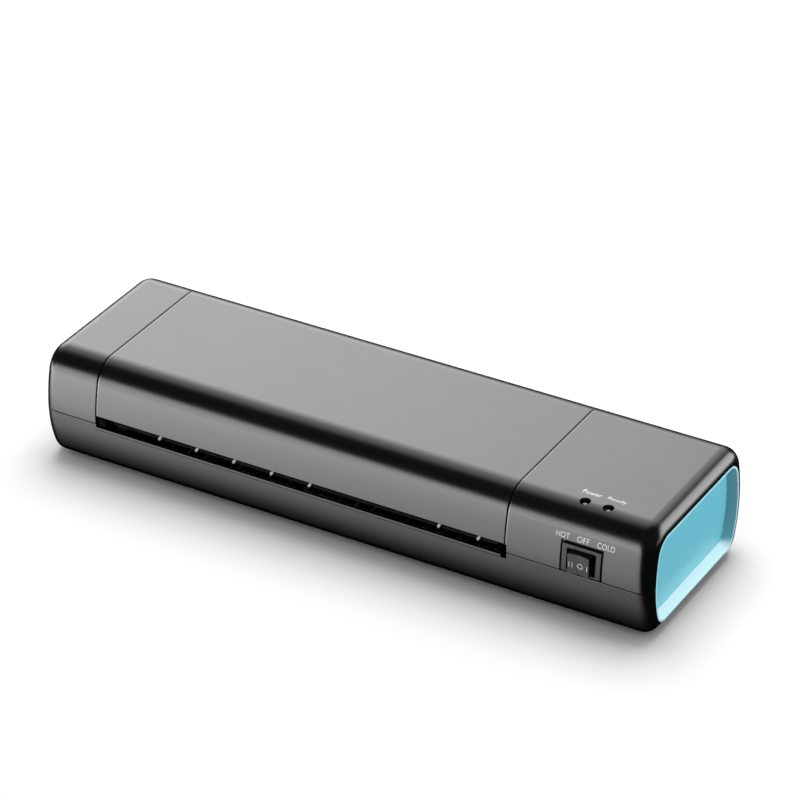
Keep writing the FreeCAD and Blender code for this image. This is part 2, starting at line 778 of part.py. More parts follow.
def side_plate(node, side):
    """A steel side plate: roller bearings, a sliding slot for the upper roller, and a foot."""
    name = "LeftPlate" if side < 0 else "RightPlate"
    near = "plate_left - plate_thickness" if side < 0 else "plate_right"
    ends = (near, f"{near} + plate_thickness")
    sheet_block = block(name + "Sheet", ends, (-62, 60), ("plate_foot", "plate_top"))
    foot_ends = (f"{near} - 12", near) if side < 0 else (f"{near} + plate_thickness", f"{near} + 13.5")
    foot = [
        block(f"{name}Foot{n}", foot_ends, (y - 8, y + 8), ("plate_foot", "plate_foot + plate_thickness"))
        for n, y in enumerate((-46, 46))
    ]
    through = (f"{near} - 20", f"{near} + 20")
    holes = [rod(name + "Bearing", "x", ROLLER_CENTRES["lower"], through, "bush_radius + 0.03")]
    holes.append(
        block(
            name + "Slot",
            through,
            ("roller_place - bush_radius - 0.05", "roller_place + bush_radius + 0.05"),
            (f"{UPPER_AXIS} - bush_radius - 0.05", 79),
        )
    )
    holes.append(block(name + "Path", through, (-63, "roller_place - 20"), (44, 47)))
    holes += [
        block(f"{name}Corner{n}", through, along, (77, 84)) for n, along in enumerate(((-63, -56), (56, 61)))
    ]
    holes += [rod(f"{name}Tie{n}", "x", place, through, 2.05) for n, place in enumerate(TIE_PLACES)]
    holes += [
        rod(f"{name}Heater{n}", "x", (HEATER_MIDDLE, f"({low} + {high}) / 2"), through, 1.6)
        for n, (low, high) in enumerate((LOWER_HEATER, UPPER_HEATER))
    ]
    holes += [
        rod(f"{name}FootHole{n}", "z", (x, y), (5, 30), 1.9)
        for n, (x, y) in enumerate(FRAME_BOSSES)
        if x * side > 0
    ]
    if side > 0:
        holes.append(rod(name + "IdlerHole", "x", (IDLER_PLACE, LOWER_AXIS), through, 2.0))
        holes += [
            rod(f"{name}Bracket{n}", "x", place, through, 1.6) for n, place in enumerate(BRACKET_POSTS)
        ]
    keep(node, cut(name, fuse(name + "Blank", [sheet_block] + foot), holes))


def tie_rods():
    """Three rods that space the side plates, and the nuts on their ends."""
    rods, nuts = [], []
    left, right = "plate_left", "plate_right"
    for n, place in enumerate(TIE_PLACES):
        bar = rod(f"TieBar{n}", "x", place, (f"{left} + 0.02", f"{right} - 0.02"), 3.5)
        thread = rod(f"TieThread{n}", "x", place, (f"{left} - 6", f"{right} + 6"), 2.0)
        rods.append(fuse(f"Tie{n}", [bar, thread]))
        outer = {
            "Left": (f"{left} - plate_thickness - 3.2", f"{left} - plate_thickness - 0.02"),
            "Right": (f"{right} + plate_thickness + 0.02", f"{right} + plate_thickness + 3.2"),
        }
        for side, ends in outer.items():
            nuts.append(hex_nut(f"Nut{side}{n}", place, ends))
    keep("tie_rods", group("TieRods", rods))
    keep("tie_rod_nuts", group("TieRodNuts", nuts))


def hex_nut(name, place, ends):
    """A hexagon nut along X."""
    prism = doc.addObject("Part::Prism", name + "Prism")
    prism.Polygon = 6
    prism.Circumradius = 4.04
    prism.Placement = Placement(Vector(0, *place), TURN_TO["x"])
    bind(prism, "Placement.Base.x", ends[0])
    bind(prism, "Height", f"({ends[1]}) - ({ends[0]})")
    return cut(name, prism, [rod(name + "Bore", "x", place, (-300, 300), 2.05)])


def frame_screws():
    """The screws that hold the side plates' feet to the floor."""
    seat = size("plate_foot") + size("plate_thickness") + 0.02
    screws = [screw(f"FrameScrew{n}", "z", place, seat, 4.2) for n, place in enumerate(FRAME_BOSSES)]
    keep("frame_screws", group("FrameScrews", screws))


def roller(which):
    """One roller: a stepped steel shaft and its silicone rubber sleeve."""
    name = which.title() + "Roller"
    centre = ROLLER_CENTRES[which]
    barrel = ("slot_left + 9", "slot_right - 9")
    shaft = fuse(
        name + "Shaft",
        [
            rod(name + "Journal", "x", centre, ("plate_left - 7", "plate_right + 13.2"), "shaft_radius"),
            rod(name + "Core", "x", centre, ("slot_left + 6", "slot_right - 6"), "core_radius"),
        ],
    )
    grooves = [
        ring(f"{name}Groove{n}", centre, ends, ("shaft_radius - 0.9", "shaft_radius + 1"))
        for n, ends in enumerate(clip_spans())
    ]
    keep(f"{which}_roller_shaft", cut(name + "Journals", shaft, grooves))
    sleeve = ring(name + "Sleeve", centre, barrel, ("core_radius + 0.01", "roller_radius"))
    keep(f"{which}_roller_sleeve", sleeve)
    clips = [
        ring(f"{name}Clip{n}", centre, (f"{low} + 0.1", f"{high} - 0.1"), ("shaft_radius - 0.85", 6.2))
        for n, (low, high) in enumerate(clip_spans())
    ]
    keep(f"{which}_roller_clips", group(name + "Clips", clips))


def clip_spans():
    """Where the retaining clips sit on a roller shaft: left end, and outside the gear."""
    return [
        ("plate_left - 6", "plate_left - 5"),
        ("gear_near + gear_width + 0.1", "gear_near + gear_width + 1.1"),
    ]


def ring(name, centre, ends, radii):
    """A tube along X between an inner and an outer radius."""
    outer = rod(name + "Out", "x", centre, ends, radii[1])
    inner = rod(name + "In", "x", centre, (f"({ends[0]}) - 1", f"({ends[1]}) + 1"), radii[0])
    return cut(name, outer, [inner])


def lower_bushes():
    """Flanged bushes pressed into the side plates for the lower roller."""
    centre = ROLLER_CENTRES["lower"]
    bushes = []
    for side, plate in (("Left", "plate_left - plate_thickness"), ("Right", "plate_right")):
        inward = ("plate_left + 0.02", "plate_left + 2") if side == "Left" else (
            "plate_right - 2", "plate_right - 0.02")
        barrel = rod(f"Bush{side}Barrel", "x", centre, (f"{plate} - 1", f"{plate} + 2.5"), "bush_radius")
        flange = rod(f"Bush{side}Flange", "x", centre, inward, "bush_radius + 2")
        bore = rod(f"Bush{side}Bore", "x", centre, (-300, 300), "shaft_radius + running_gap")
        bushes.append(cut(f"Bush{side}", fuse(f"Bush{side}Blank", [barrel, flange]), [bore]))
    keep("lower_roller_bushes", group("LowerBushes", bushes))


def slider(name, plate, low, high):
    """A block that straddles a side plate's slot, with a flange on each side of the plate."""
    wide = ("roller_place - 8", "roller_place + 8")
    narrow = ("roller_place - bush_radius", "roller_place + bush_radius")
    neck = block(name + "Neck", (f"{plate} - 2", f"{plate} + plate_thickness + 2"), narrow, (low, high))
    near = block(name + "Near", (f"{plate} - 2", f"{plate} - 0.05"), wide, (low, high))
    spans = (f"{plate} + plate_thickness + 0.05", f"{plate} + plate_thickness + 2")
    far = block(name + "Far", spans, wide, (low, high))
    return fuse(name, [neck, near, far])


def upper_bearings():
    """The upper roller's sliding bushes, the springs that press them down, and their caps."""
    centre = ROLLER_CENTRES["upper"]
    bushes, springs, caps = [], [], []
    top = f"{UPPER_AXIS} + bush_radius"
    for side, plate in (("Left", "plate_left - plate_thickness"), ("Right", "plate_right")):
        blank = slider(f"Slider{side}", plate, f"{UPPER_AXIS} - bush_radius", top)
        bore = rod(f"Slider{side}Bore", "x", centre, (-300, 300), "shaft_radius + running_gap")
        bushes.append(cut(f"SlidingBush{side}", blank, [bore]))
        caps.append(slider(f"SpringCap{side}", plate, 76.5, 78.95))
        middle = size("plate_left") - size("plate_thickness") / 2
        if side == "Right":
            middle = size("plate_right") + size("plate_thickness") / 2
        springs.append(pressure_spring(f"Spring{side}", middle))
    keep("upper_roller_bushes", group("SlidingBushes", bushes))
    keep("spring_caps", group("SpringCaps", caps))
    keep("pressure_springs", group("PressureSprings", springs))


def pressure_spring(name, middle):
    """A compression spring between a sliding bush and its cap."""
    low = size("path_height") + size("roller_spacing") / 2 + size("bush_radius") + 0.55
    high = 75.95
    turns = 4
    coil, wire, sides = 3.6, 0.47, 12
    helix = Part.makeHelix((high - low) / turns, high - low, coil)
    angles = [2 * math.pi * n / sides for n in range(sides + 1)]
    corners = [Vector(coil + wire * math.cos(a), 0, wire * math.sin(a)) for a in angles]
    section = Part.makePolygon(corners)
    swept = Part.Wire(helix.Edges).makePipeShell([section], True, True)
    spring = doc.addObject("Part::Feature", name)
    spring.Shape = Part.Solid(swept)
    spring.Placement = Placement(Vector(middle, size("roller_place"), low), Rotation())
    return spring


# ---------------------------------------------------------------- gear train


def gear(name, teeth, phase, centre, bore, hub=None):
    """A spur gear along X; phase is the direction of one tooth in the YZ plane, in degrees."""
    builder = fcgear.FCWireBuilder()
    involute.CreateExternalGear(builder, size("gear_module"), teeth, 20.0, True)
    profile = Part.Wire([element.toShape() for element in builder.wire])
    blank = Part.Face(profile).extrude(Vector(0, 0, size("gear_width")))
    if hub:
        blank = blank.fuse(Part.makeCylinder(hub[0], hub[1]))
    wheel = blank.cut(Part.makeCylinder(bore, 40, Vector(0, 0, -10)))
    spur = doc.addObject("Part::Feature", name)
    spur.Shape = wheel
    # The profile's X axis becomes +Y and its Y axis becomes +Z.
    upright = Rotation(Vector(0, 1, 0), Vector(0, 0, 1), Vector(1, 0, 0), "ZXY")
    turned = Rotation(Vector(1, 0, 0), phase).multiply(upright)
    spur.Placement = Placement(Vector(size("gear_near"), *centre), turned)
    return spur


def meshed_phase(phase, teeth, direction, other_teeth):
    """The phase that puts a second gear in mesh with the first, seen along a direction."""
    place = (direction - phase) * teeth / 360.0
    return direction + 180.0 - (0.5 - place) * 360.0 / other_teeth


def gear_centres():
    """The gear train's centres in the YZ plane, all on the lower roller's height."""
    height = size("path_height") - size("roller_spacing") / 2
    module, gap = size("gear_module"), size("gear_mesh_gap") / 2
    place = size("roller_place")
    idler = place - (size("roller_teeth") + size("idler_teeth")) * module / 2 - gap
    motor = idler - (size("idler_teeth") + size("pinion_teeth")) * module / 2 - gap
    upper = (place, height + size("roller_spacing"))
    return {"lower": (place, height), "upper": upper, "idler": (idler, height), "motor": (motor, height)}


def gear_train():
    """Motor pinion, idler and the two roller gears, in mesh at rest."""
    centres = gear_centres()
    roller_teeth, idler_teeth = int(size("roller_teeth")), int(size("idler_teeth"))
    pinion_teeth = int(size("pinion_teeth"))
    lower_phase = 0.0
    upper_phase = meshed_phase(lower_phase, roller_teeth, 90.0, roller_teeth)
    idler_phase = meshed_phase(lower_phase, roller_teeth, 180.0, idler_teeth)
    pinion_phase = meshed_phase(idler_phase, idler_teeth, 180.0, pinion_teeth)
    bore = size("shaft_radius") + 0.02
    wheels = {
        "lower_roller_gear": ("LowerGear", roller_teeth, lower_phase, centres["lower"], bore),
        "upper_roller_gear": ("UpperGear", roller_teeth, upper_phase, centres["upper"], bore),
        "idler_gear": ("IdlerGear", idler_teeth, idler_phase, centres["idler"], 2.55),
        "motor_pinion": ("Pinion", pinion_teeth, pinion_phase, centres["motor"], 3.52),
    }
    for node, (name, teeth, phase, centre, hole) in wheels.items():
        keep(node, gear(name, teeth, phase, centre, hole))
    axis = (IDLER_PLACE, LOWER_AXIS)
    foot = ("plate_right + plate_thickness + 0.02", "gear_near - 0.1")
    shoulder = rod("IdlerShoulder", "x", axis, foot, 4)
    pin = rod("IdlerPin", "x", axis, (foot[0], "gear_near + 7.9"), 2.5)
    stub = rod("IdlerStub", "x", axis, ("plate_right - 0.8", "gear_near"), 1.98)
    groove = ring("IdlerGroove", axis, ("gear_near + 6.2", "gear_near + 7.0"), (1.9, 4))
    keep("idler_pin", cut("IdlerPinCut", fuse("IdlerPinBlank", [shoulder, pin, stub]), [groove]))
    clip = ring("IdlerClip", axis, ("gear_near + 6.25", "gear_near + 6.95"), (1.95, 4.5))
    keep("idler_clip", clip)


def motor():
    """The synchronous gear motor, its shaft, its bracket and its screws."""
    axis = (MOTOR_PLACE, LOWER_AXIS)
    near, far = "motor_near", "motor_near + motor_length"
    ears = [
        block(f"MotorEar{n}", (near, f"{near} + 1.2"), (f"{MOTOR_PLACE} - 5", f"{MOTOR_PLACE} + 5"), up)
        for n, up in enumerate(((LOWER_AXIS, "61.5"),))
    ]
    can = rod("MotorCan", "x", axis, (near, far), "motor_radius")
    step = rod("MotorStep", "x", axis, (far, f"{far} + 2"), "motor_radius - 7")
    entry = rod("MotorBore", "x", axis, (f"{near} - 1", f"{near} + 9"), "3.55")
    ear_hole = rod("MotorEarHole", "x", (MOTOR_PLACE, 60.3), (100, 200), 1.0)
    blank = fuse("MotorBlank", [can, step] + ears)
    keep("gear_motor", cut("GearMotor", blank, [entry, ear_hole]))
    shaft = rod("MotorShaftRod", "x", axis, ("gear_near - 1", f"{near} + 8.5"), 3.5)
    keep("motor_shaft", shaft)
    bracket_plate = block("BracketPlate", (150, 151.5), (-61.4, 3), (10, 63))
    spacers = [
        rod(f"BracketSpacer{n}", "x", place, ("plate_right + plate_thickness + 0.02", 150.5), 3.6)
        for n, place in enumerate(BRACKET_POSTS)
    ]
    openings = [rod("BracketEye", "x", axis, (140, 160), 9)]
    openings += [
        rod(f"BracketPilot{n}", "x", place, (130, 160), 1.55) for n, place in enumerate(BRACKET_POSTS)
    ]
    blank = fuse("BracketBlank", [bracket_plate] + spacers)
    keep("motor_bracket", cut("MotorBracket", blank, openings))


# ---------------------------------------------------------------- heaters

ELEMENT_SPANS = [("slot_left + 14", "-50"), ("-16", "slot_right - 14")]
GAP_PLACE = -38.0


def heaters():
    """Two aluminium plates above and below the pouch path, and the mica elements on them."""
    ends = ("plate_left + 0.1", "plate_right - 0.1")
    along = ("heater_front", "heater_back")
    elements = []
    for which, up in (("lower", LOWER_HEATER), ("upper", UPPER_HEATER)):
        name = which.title() + "Heater"
        blank = block(name + "Blank", ends, along, up)
        lead = doc.addObject("Part::Chamfer", name + "Lead")
        lead.Base = blank
        doc.recompute()
        path_face = size("path_height") + (-1 if which == "lower" else 1) * size("heater_gap")
        edges = [
            number
            for number, edge in enumerate(blank.Shape.Edges, start=1)
            if edge.Length > 300 and abs(edge.BoundBox.ZMin - path_face) < 0.01
        ]
        lead.Edges = [(number, 1.5, 1.5) for number in edges]
        centre = (HEATER_MIDDLE, f"({up[0]} + {up[1]}) / 2")
        holes = [
            rod(f"{name}Tap{n}", "x", centre, span, 1.55)
            for n, span in enumerate((("-210", "plate_left + 10"), ("plate_right - 10", "145")))
        ]
        keep(f"{which}_heater_plate", cut(name, lead, holes))
        if which == "lower":
            level = (f"{up[0]} - 0.05 - element_thickness", f"{up[0]} - 0.05")
        else:
            level = (f"{up[1]} + 0.05", f"{up[1]} + 0.05 + element_thickness")
        elements += [
            block(f"{name}Element{n}", span, ("heater_front + 5", "heater_back - 5"), level)
            for n, span in enumerate(ELEMENT_SPANS)
        ]
    keep("heating_elements", group("HeatingElements", elements))
    plate_screws()
    heater_controls()
    heat_shields()


def plate_screws():
    """Pan-head screws through the side plates into the heater plates, and into the bracket."""
    left = "plate_left - plate_thickness - 0.02"
    right = "plate_right + plate_thickness + 0.02"
    seats = []
    for low, high in (LOWER_HEATER, UPPER_HEATER):
        centre = (HEATER_MIDDLE, f"({low} + {high}) / 2")
        seats += [(centre, left, 1), (centre, right, -1)]
    seats += [(place, "151.52", -1) for place in BRACKET_POSTS]
    screws = []
    for n, (centre, seat, way) in enumerate(seats):
        shank = (seat, f"{seat} + 8.5") if way > 0 else (f"{seat} - 8.5", seat)
        head = (f"{seat} - 2", seat) if way > 0 else (seat, f"{seat} + 2")
        stem = rod(f"PlateShank{n}", "x", centre, shank, 1.5)
        cap = rod(f"PlateHead{n}", "x", centre, head, 2.7)
        screws.append(fuse(f"PlateScrew{n}", [stem, cap]))
    keep("plate_screws", group("PlateScrews", screws))


def heater_controls():
    """A thermostat on each heater plate, and the thermal fuse beside the upper one."""
    upper_face = f"{UPPER_HEATER[1]} + 0.05"
    lower_face = f"{LOWER_HEATER[0]} - 0.05"
    spans = {
        "Upper": ((upper_face, f"{upper_face} + 6"), (f"{upper_face} + 6", f"{upper_face} + 9")),
        "Lower": ((f"{lower_face} - 6", lower_face), (f"{lower_face} - 9", f"{lower_face} - 6")),
    }
    controls = []
    for which, (disc_span, cap_span) in spans.items():
        centre = (GAP_PLACE, HEATER_MIDDLE)
        disc = rod(f"{which}Disc", "z", centre, disc_span, 7.8)
        cap = rod(f"{which}DiscCap", "z", centre, cap_span, 6.2)
        tabs = [
            block(f"{which}Tab{n}", (x - 0.4, x + 0.4), (y - 3, y + 3), cap_span)
            for n, (x, y) in enumerate(((GAP_PLACE - 6.5, -18), (GAP_PLACE + 6.5, -18)))
        ]
        controls.append(fuse(f"{which}Thermostat", [disc, cap] + tabs))
    keep("thermostats", group("Thermostats", controls))
    fuse_height = f"{upper_face} + 2.05"
    case = rod("FuseCase", "y", (-23, fuse_height), (-26, -12), 2)
    lead = rod("FuseLead", "y", (-23, fuse_height), (-33, -5), 0.5)
    keep("thermal_fuse", fuse("ThermalFuse", [case, lead]))


def heat_shields():
    """Folded sheet covers that keep the heat off the plastic casing."""
    across = ("plate_left + 4", "plate_right - 4")
    levels = {
        "upper": (("52.2", "65"), ("52.2", "64.2")),
        "lower": (("26", "38.8"), ("26.8", "38.8")),
    }
    for which, (outer, inner) in levels.items():
        name = which.title() + "Shield"
        box = block(name + "Box", across, ("heater_front - 3.8", "heater_back + 1.6"), outer)
        hollow = block(
            name + "Hollow",
            (f"{across[0]} - 1", f"{across[1]} + 1"),
            ("heater_front - 3", "heater_back + 0.8"),
            (inner[0] if which == "lower" else "50", inner[1] if which == "upper" else "45"),
        )
        slots = [
            block(f"{name}Slot{n}", (x, x + 20), (-30, -6), (20, 70))
            for n, x in enumerate(range(-180, 110, 40))
        ]
        keep(f"{which}_heat_shield", cut(name, box, [hollow] + slots))


# ---------------------------------------------------------------- controls and electrics


def switch():
    """The three-position rocker switch: housing, rocker and terminals."""
    low, high = "switch_low", "switch_high"
    bezel = block(
        "Bezel",
        ("switch_middle - 14.5", "switch_middle + 14.5"),
        ("-switch_face", "-half_depth + 3.9"),
        (low, high),
    )
    bezel = common("BezelFlush", bezel, outside)
    case = block(
        "SwitchCase",
        ("switch_middle - 12.3", "switch_middle + 12.3"),
        ("-half_depth + 3.9", -50),
        (low, f"{high} - 0.7"),
    )
    mouth = block(
        "SwitchMouth",
        ("switch_middle - 11", "switch_middle + 11"),
        (-90, -56),
        (f"{low} + 1.3", f"{high} - 2.5"),
    )
    pivot = ("switch_middle", "-rocker_pivot")
    hinge = rod("SwitchHinge", "z", pivot, (f"{low} + 0.5", f"{high} - 1.3"), 1.55)
    keep("switch_housing", cut("SwitchHousing", fuse("SwitchBlank", [bezel, case]), [mouth, hinge]))
    body = doc.addObject("PartDesign::Body", "RockerBody")
    sketch = sketch_in(body, "RockerSide", "XY_Plane", f"{low} + 1.8")
    draw_rocker(sketch)
    pad = body.newObject("PartDesign::Pad", "RockerPad")
    pad.Profile = sketch
    bind(pad, "Length", f"{high} - {low} - 5.2")
    pins = rod("RockerPins", "z", pivot, (f"{low} + 0.7", f"{high} - 1.5"), 1.5)
    keep("switch_rocker", fuse("SwitchRocker", [body, pins]))
    lugs = [
        block(f"Lug{n}", (f"switch_middle + {x} - 2.4", f"switch_middle + {x} + 2.4"), (-49.98, -42), up)
        for n, (x, up) in enumerate([(x, up) for x in (-7.5, 0, 7.5) for up in ((47, 47.8), (57, 57.8))])
    ]
    keep("switch_terminals", group("SwitchTerminals", lugs))


def draw_rocker(sketch):
    """The rocker's outline seen from above: two shallow wings that meet in a hollow middle."""
    middle = size("switch_middle")
    face, pivot = size("switch_face"), size("rocker_pivot")
    wing, hollow = 8.0, 1.3
    proud = face + 3.6
    left = Part.LineSegment(Vector(middle, -proud + hollow, 0), Vector(middle - wing, -proud, 0))
    right = Part.LineSegment(Vector(middle + wing, -proud, 0), Vector(middle, -proud + hollow, 0))
    flank_left = Part.LineSegment(Vector(middle - wing, -proud, 0), Vector(middle - wing - 1, -pivot, 0))
    flank_right = Part.LineSegment(Vector(middle + wing + 1, -pivot, 0), Vector(middle + wing, -proud, 0))
    back = Part.LineSegment(Vector(middle - wing - 1, -pivot, 0), Vector(middle - 3, -pivot + 4, 0))
    heel = Part.LineSegment(Vector(middle - 3, -pivot + 4, 0), Vector(middle + 3, -pivot + 4, 0))
    rise = Part.LineSegment(Vector(middle + 3, -pivot + 4, 0), Vector(middle + wing + 1, -pivot, 0))
    sketch.addGeometry([left, flank_left, back, heel, rise, flank_right, right], False)
    for here in range(7):
        sketch.addConstraint(Sketcher.Constraint("Coincident", here, 2, (here + 1) % 7, 1))
    hold(sketch, "switch_middle", "DistanceX", -1, 1, 0, 1, middle)
    hold(sketch, f"switch_face + {3.6 - hollow}", "DistanceY", 0, 1, -1, 1, proud - hollow)


def lamp(node, name, place):
    """A round indicator lamp: flanged foot, straight body, domed tip and two legs."""
    centre = (place, "-lamp_place")
    foot = rod(name + "Foot", "z", centre, ("lamp_foot + 1", "lamp_foot + 2"), 2.9)
    stem = rod(name + "Stem", "z", centre, ("lamp_foot + 1", "lamp_foot + 5.6"), 2.5)
    dome = doc.addObject("Part::Sphere", name + "Dome")
    dome.Radius = 2.5
    bind(dome, "Placement.Base.x", place)
    bind(dome, "Placement.Base.y", "-lamp_place")
    bind(dome, "Placement.Base.z", "lamp_foot + 5.6")
    legs = [
        block(f"{name}Leg{n}", (f"{place} + {x} - 0.25", f"{place} + {x} + 0.25"),
              ("-lamp_place - 0.25", "-lamp_place + 0.25"), ("lamp_foot - 0.45", "lamp_foot + 1.2"))
        for n, x in enumerate((-1.27, 1.27))
    ]
    keep(node, fuse(name, [foot, stem, dome] + legs))


def boards():
    """The lamp board, the main board and the parts and screws on them."""
    strip = block("LampStrip", (172.4, 210.4), (-58, -44.8), ("lamp_foot - 2.1", "lamp_foot - 0.5"))
    holes = [rod(f"LampStripHole{n}", "z", place, (70, 84), 1.6) for n, place in enumerate(LAMP_POSTS)]
    keep("lamp_board", cut("LampBoard", strip, holes))
    board = block("MainBoardBlank", (178, 220), (-38, 38), (14, 15.6))
    holes = [rod(f"BoardHole{n}", "z", place, (10, 20), 1.9) for n, place in enumerate(BOARD_BOSSES)]
    keep("circuit_board", cut("CircuitBoard", board, holes))
    keep("terminal_block", cut(
        "TerminalBlock",
        block("TerminalBody", (190, 208), (20, 30), (15.65, 26)),
        [rod(f"TerminalWell{n}", "z", (x, 25), (20, 30), 1.6) for n, x in enumerate((193, 199, 205))],
    ))
    can = rod("CapacitorCan", "z", (199, 5), (15.65, 32), 6)
    keep("capacitor", can)
    screws = [
        screw(f"BoardScrew{n}", "z", place, 15.62, 6.2, (3.2, 2.0)) for n, place in enumerate(BOARD_BOSSES)
    ]
    for n, place in enumerate(LAMP_POSTS):
        under = size("lamp_foot") - 2.12
        shank = rod(f"LampScrewShank{n}", "z", place, (under, under + 7), 1.2)
        head = rod(f"LampScrewHead{n}", "z", place, (under - 1.6, under), 2.4)
        screws.append(fuse(f"LampScrew{n}", [shank, head]))
    keep("board_screws", group("BoardScrews", screws))


def wiring():
    """Loose wires from the switch and the cord to the main board's terminal block."""
    down, back = (0, 0, -1), (0, 1, 0)
    runs = {
        "SwitchWireOne": ((183.5, -41.8, 49.0), back, [50, (8, 50, down), 16]),
        "SwitchWireTwo": ((198.5, -41.8, 59.0), back, [52, (8, 60, down), 20]),
        "CordWire": ((190, 49.8, 24), (0, -1, 0), [6, (8, 60, (0, 0, 1)), 8]),
    }
    wires = [pipe(name, start, ahead, moves, 0.9) for name, (start, ahead, moves) in runs.items()]
    keep("wiring", group("Wiring", wires))


# ---------------------------------------------------------------- cord and plug

PLUG_FACE = 8.0
PLUG_BACK = PLUG_FACE + 27.0
CORD_BEND = 14.0
CORD_TURN = 11.0
CORD_OUT = 37.0
CORD_PASSES = (196.0, 190.0)
PLUG_PLACE = 50.0 + CORD_OUT + CORD_BEND + 4 * CORD_TURN


def power_cord():
    """The mains cord: out of the rear wall, down to the table, and in three passes to the plug."""
    height, level = size("cord_exit_height"), size("cord_radius") + 0.3
    plug_level = size("plug_height") / 2 + 0.05
    down, up, out, left, right = (0, 0, -1), (0, 0, 1), (0, 1, 0), (-1, 0, 0), (1, 0, 0)
    fall = level_change(height - level, CORD_BEND + 2)
    climb = level_change(plug_level - level, 30.0)
    sloping = Rotation(Vector(0, 1, 0), -fall).multVec(Vector(0, 0, 1))
    lifted = Rotation(Vector(0, 1, 0), climb).multVec(Vector(0, 0, -1))
    moves = [CORD_OUT, (CORD_BEND, 90.0, left)]
    moves += [(CORD_BEND + 2, fall, down), (CORD_BEND + 2, fall, tuple(sloping))]
    moves += [CORD_PASSES[0], (CORD_TURN, 180.0, out), CORD_PASSES[1], (CORD_TURN, 180.0, out)]
    start_run = size("cord_exit") - CORD_BEND - 2 * (CORD_BEND + 2) * math.sin(math.radians(fall))
    last_turn = start_run - CORD_PASSES[0] + CORD_PASSES[1]
    ramp = 2 * 30.0 * math.sin(math.radians(climb))
    moves += [last_turn - ramp - (PLUG_BACK + 22.0), (30.0, climb, up), (30.0, climb, tuple(lifted))]
    moves += [18.0]
    start = (size("cord_exit"), 50.0, height)
    keep("power_cord", pipe("PowerCord", start, out, moves, size("cord_radius")))


def cord_grommet():
    """The rubber sleeve that holds the cord in the rear wall, with a ribbed tail."""
    axis = ("cord_exit", "cord_exit_height")
    pieces = [
        rod("GrommetNeck", "y", axis, (62.5, 73.1), 5.5),
        rod("GrommetLip", "y", axis, (62.5, 65.9), 7),
        rod("GrommetFlange", "y", axis, (73.05, 75.6), 7.6),
        taper("GrommetTail", "y", axis, (75.5, 86.5), (5.2, 4.0)),
    ]
    pieces += [
        rod(f"GrommetRib{n}", "y", axis, (y, y + 1.4), 5.9 - 0.3 * n)
        for n, y in enumerate((77.4, 80.2, 83.0))
    ]
    bore = rod("GrommetBore", "y", axis, (50, 100), "cord_radius + 0.2")
    keep("cord_grommet", cut("CordGrommet", fuse("GrommetBlank", pieces), [bore]))


def draw_plug_section(sketch, wide, tall, slope):
    """A rectangle with its four corners cut off, centred on the sketch's origin."""
    y, z = wide / 2, tall / 2
    corners = [(y, z - slope), (y - slope, z), (slope - y, z), (-y, z - slope)]
    corners += [(-y, slope - z), (slope - y, -z), (y - slope, -z), (y, slope - z)]
    for n, corner in enumerate(corners):
        after = corners[(n + 1) % len(corners)]
        sketch.addGeometry(Part.LineSegment(Vector(*corner, 0), Vector(*after, 0)), False)
    for n in range(len(corners)):
        after = (n + 1) % len(corners)
        sketch.addConstraint(Sketcher.Constraint("Coincident", n, 2, after, 1))


def plug_body():
    """The moulded plug: a flat face block, a tapering grip, a ribbed neck and pin sleeves."""
    height = size("plug_height")
    body = doc.addObject("PartDesign::Body", "PlugMoulding")
    face = sketch_in(body, "PlugFace", "YZ_Plane", "0")
    draw_plug_section(face, size("plug_width"), height, 4.0)
    pad = body.newObject("PartDesign::Pad", "PlugFacePad")
    pad.Profile = face
    pad.Length = 5.0
    wide = sketch_in(body, "PlugWide", "YZ_Plane", "5")
    draw_plug_section(wide, size("plug_width") - 3.5, height - 1.5, 3.6)
    narrow = sketch_in(body, "PlugNarrow", "YZ_Plane", PLUG_BACK - PLUG_FACE)
    draw_plug_section(narrow, 13.5, 10.5, 3.2)
    loft = body.newObject("PartDesign::AdditiveLoft", "PlugGrip")
    loft.Profile = wide
    loft.Sections = [narrow]
    loft.Ruled = True
    body.Placement = Placement(Vector(PLUG_FACE, PLUG_PLACE, height / 2 + 0.02), Rotation())
    axis = (PLUG_PLACE, height / 2 + 0.05)
    pieces = [body, rod("PlugCollar", "x", axis, (PLUG_BACK - 1, PLUG_BACK + 3), 6.2)]
    pieces.append(taper("PlugNeck", "x", axis, (PLUG_BACK + 2, PLUG_BACK + 19), (4.8, 3.9)))
    pieces += [
        rod(f"PlugRib{n}", "x", axis, (PLUG_BACK + x, PLUG_BACK + x + 1.8), 5.6 - 0.25 * n)
        for n, x in enumerate((5.0, 8.4, 11.8, 15.2))
    ]
    sleeve = "pin_length - 9"
    pieces += [
        rod(f"PinSleeve{n}", "x", (y, axis[1]), (f"{PLUG_FACE} - ({sleeve})", PLUG_FACE + 1), "pin_radius")
        for n, y in enumerate(pin_places())
    ]
    tools = [rod("PlugBore", "x", axis, (PLUG_BACK, PLUG_BACK + 30), "cord_radius + 0.2")]
    tools += [
        rod(f"PinBore{n}", "x", (y, axis[1]), (PLUG_FACE - 20, PLUG_FACE + 12.02), 1.52)
        for n, y in enumerate(pin_places())
    ]
    keep("plug_body", cut("PlugBody", fuse("PlugBlank", pieces), tools))


def pin_places():
    """The two pins' formulas across the plug."""
    return [f"{PLUG_PLACE} - pin_spacing / 2", f"{PLUG_PLACE} + pin_spacing / 2"]


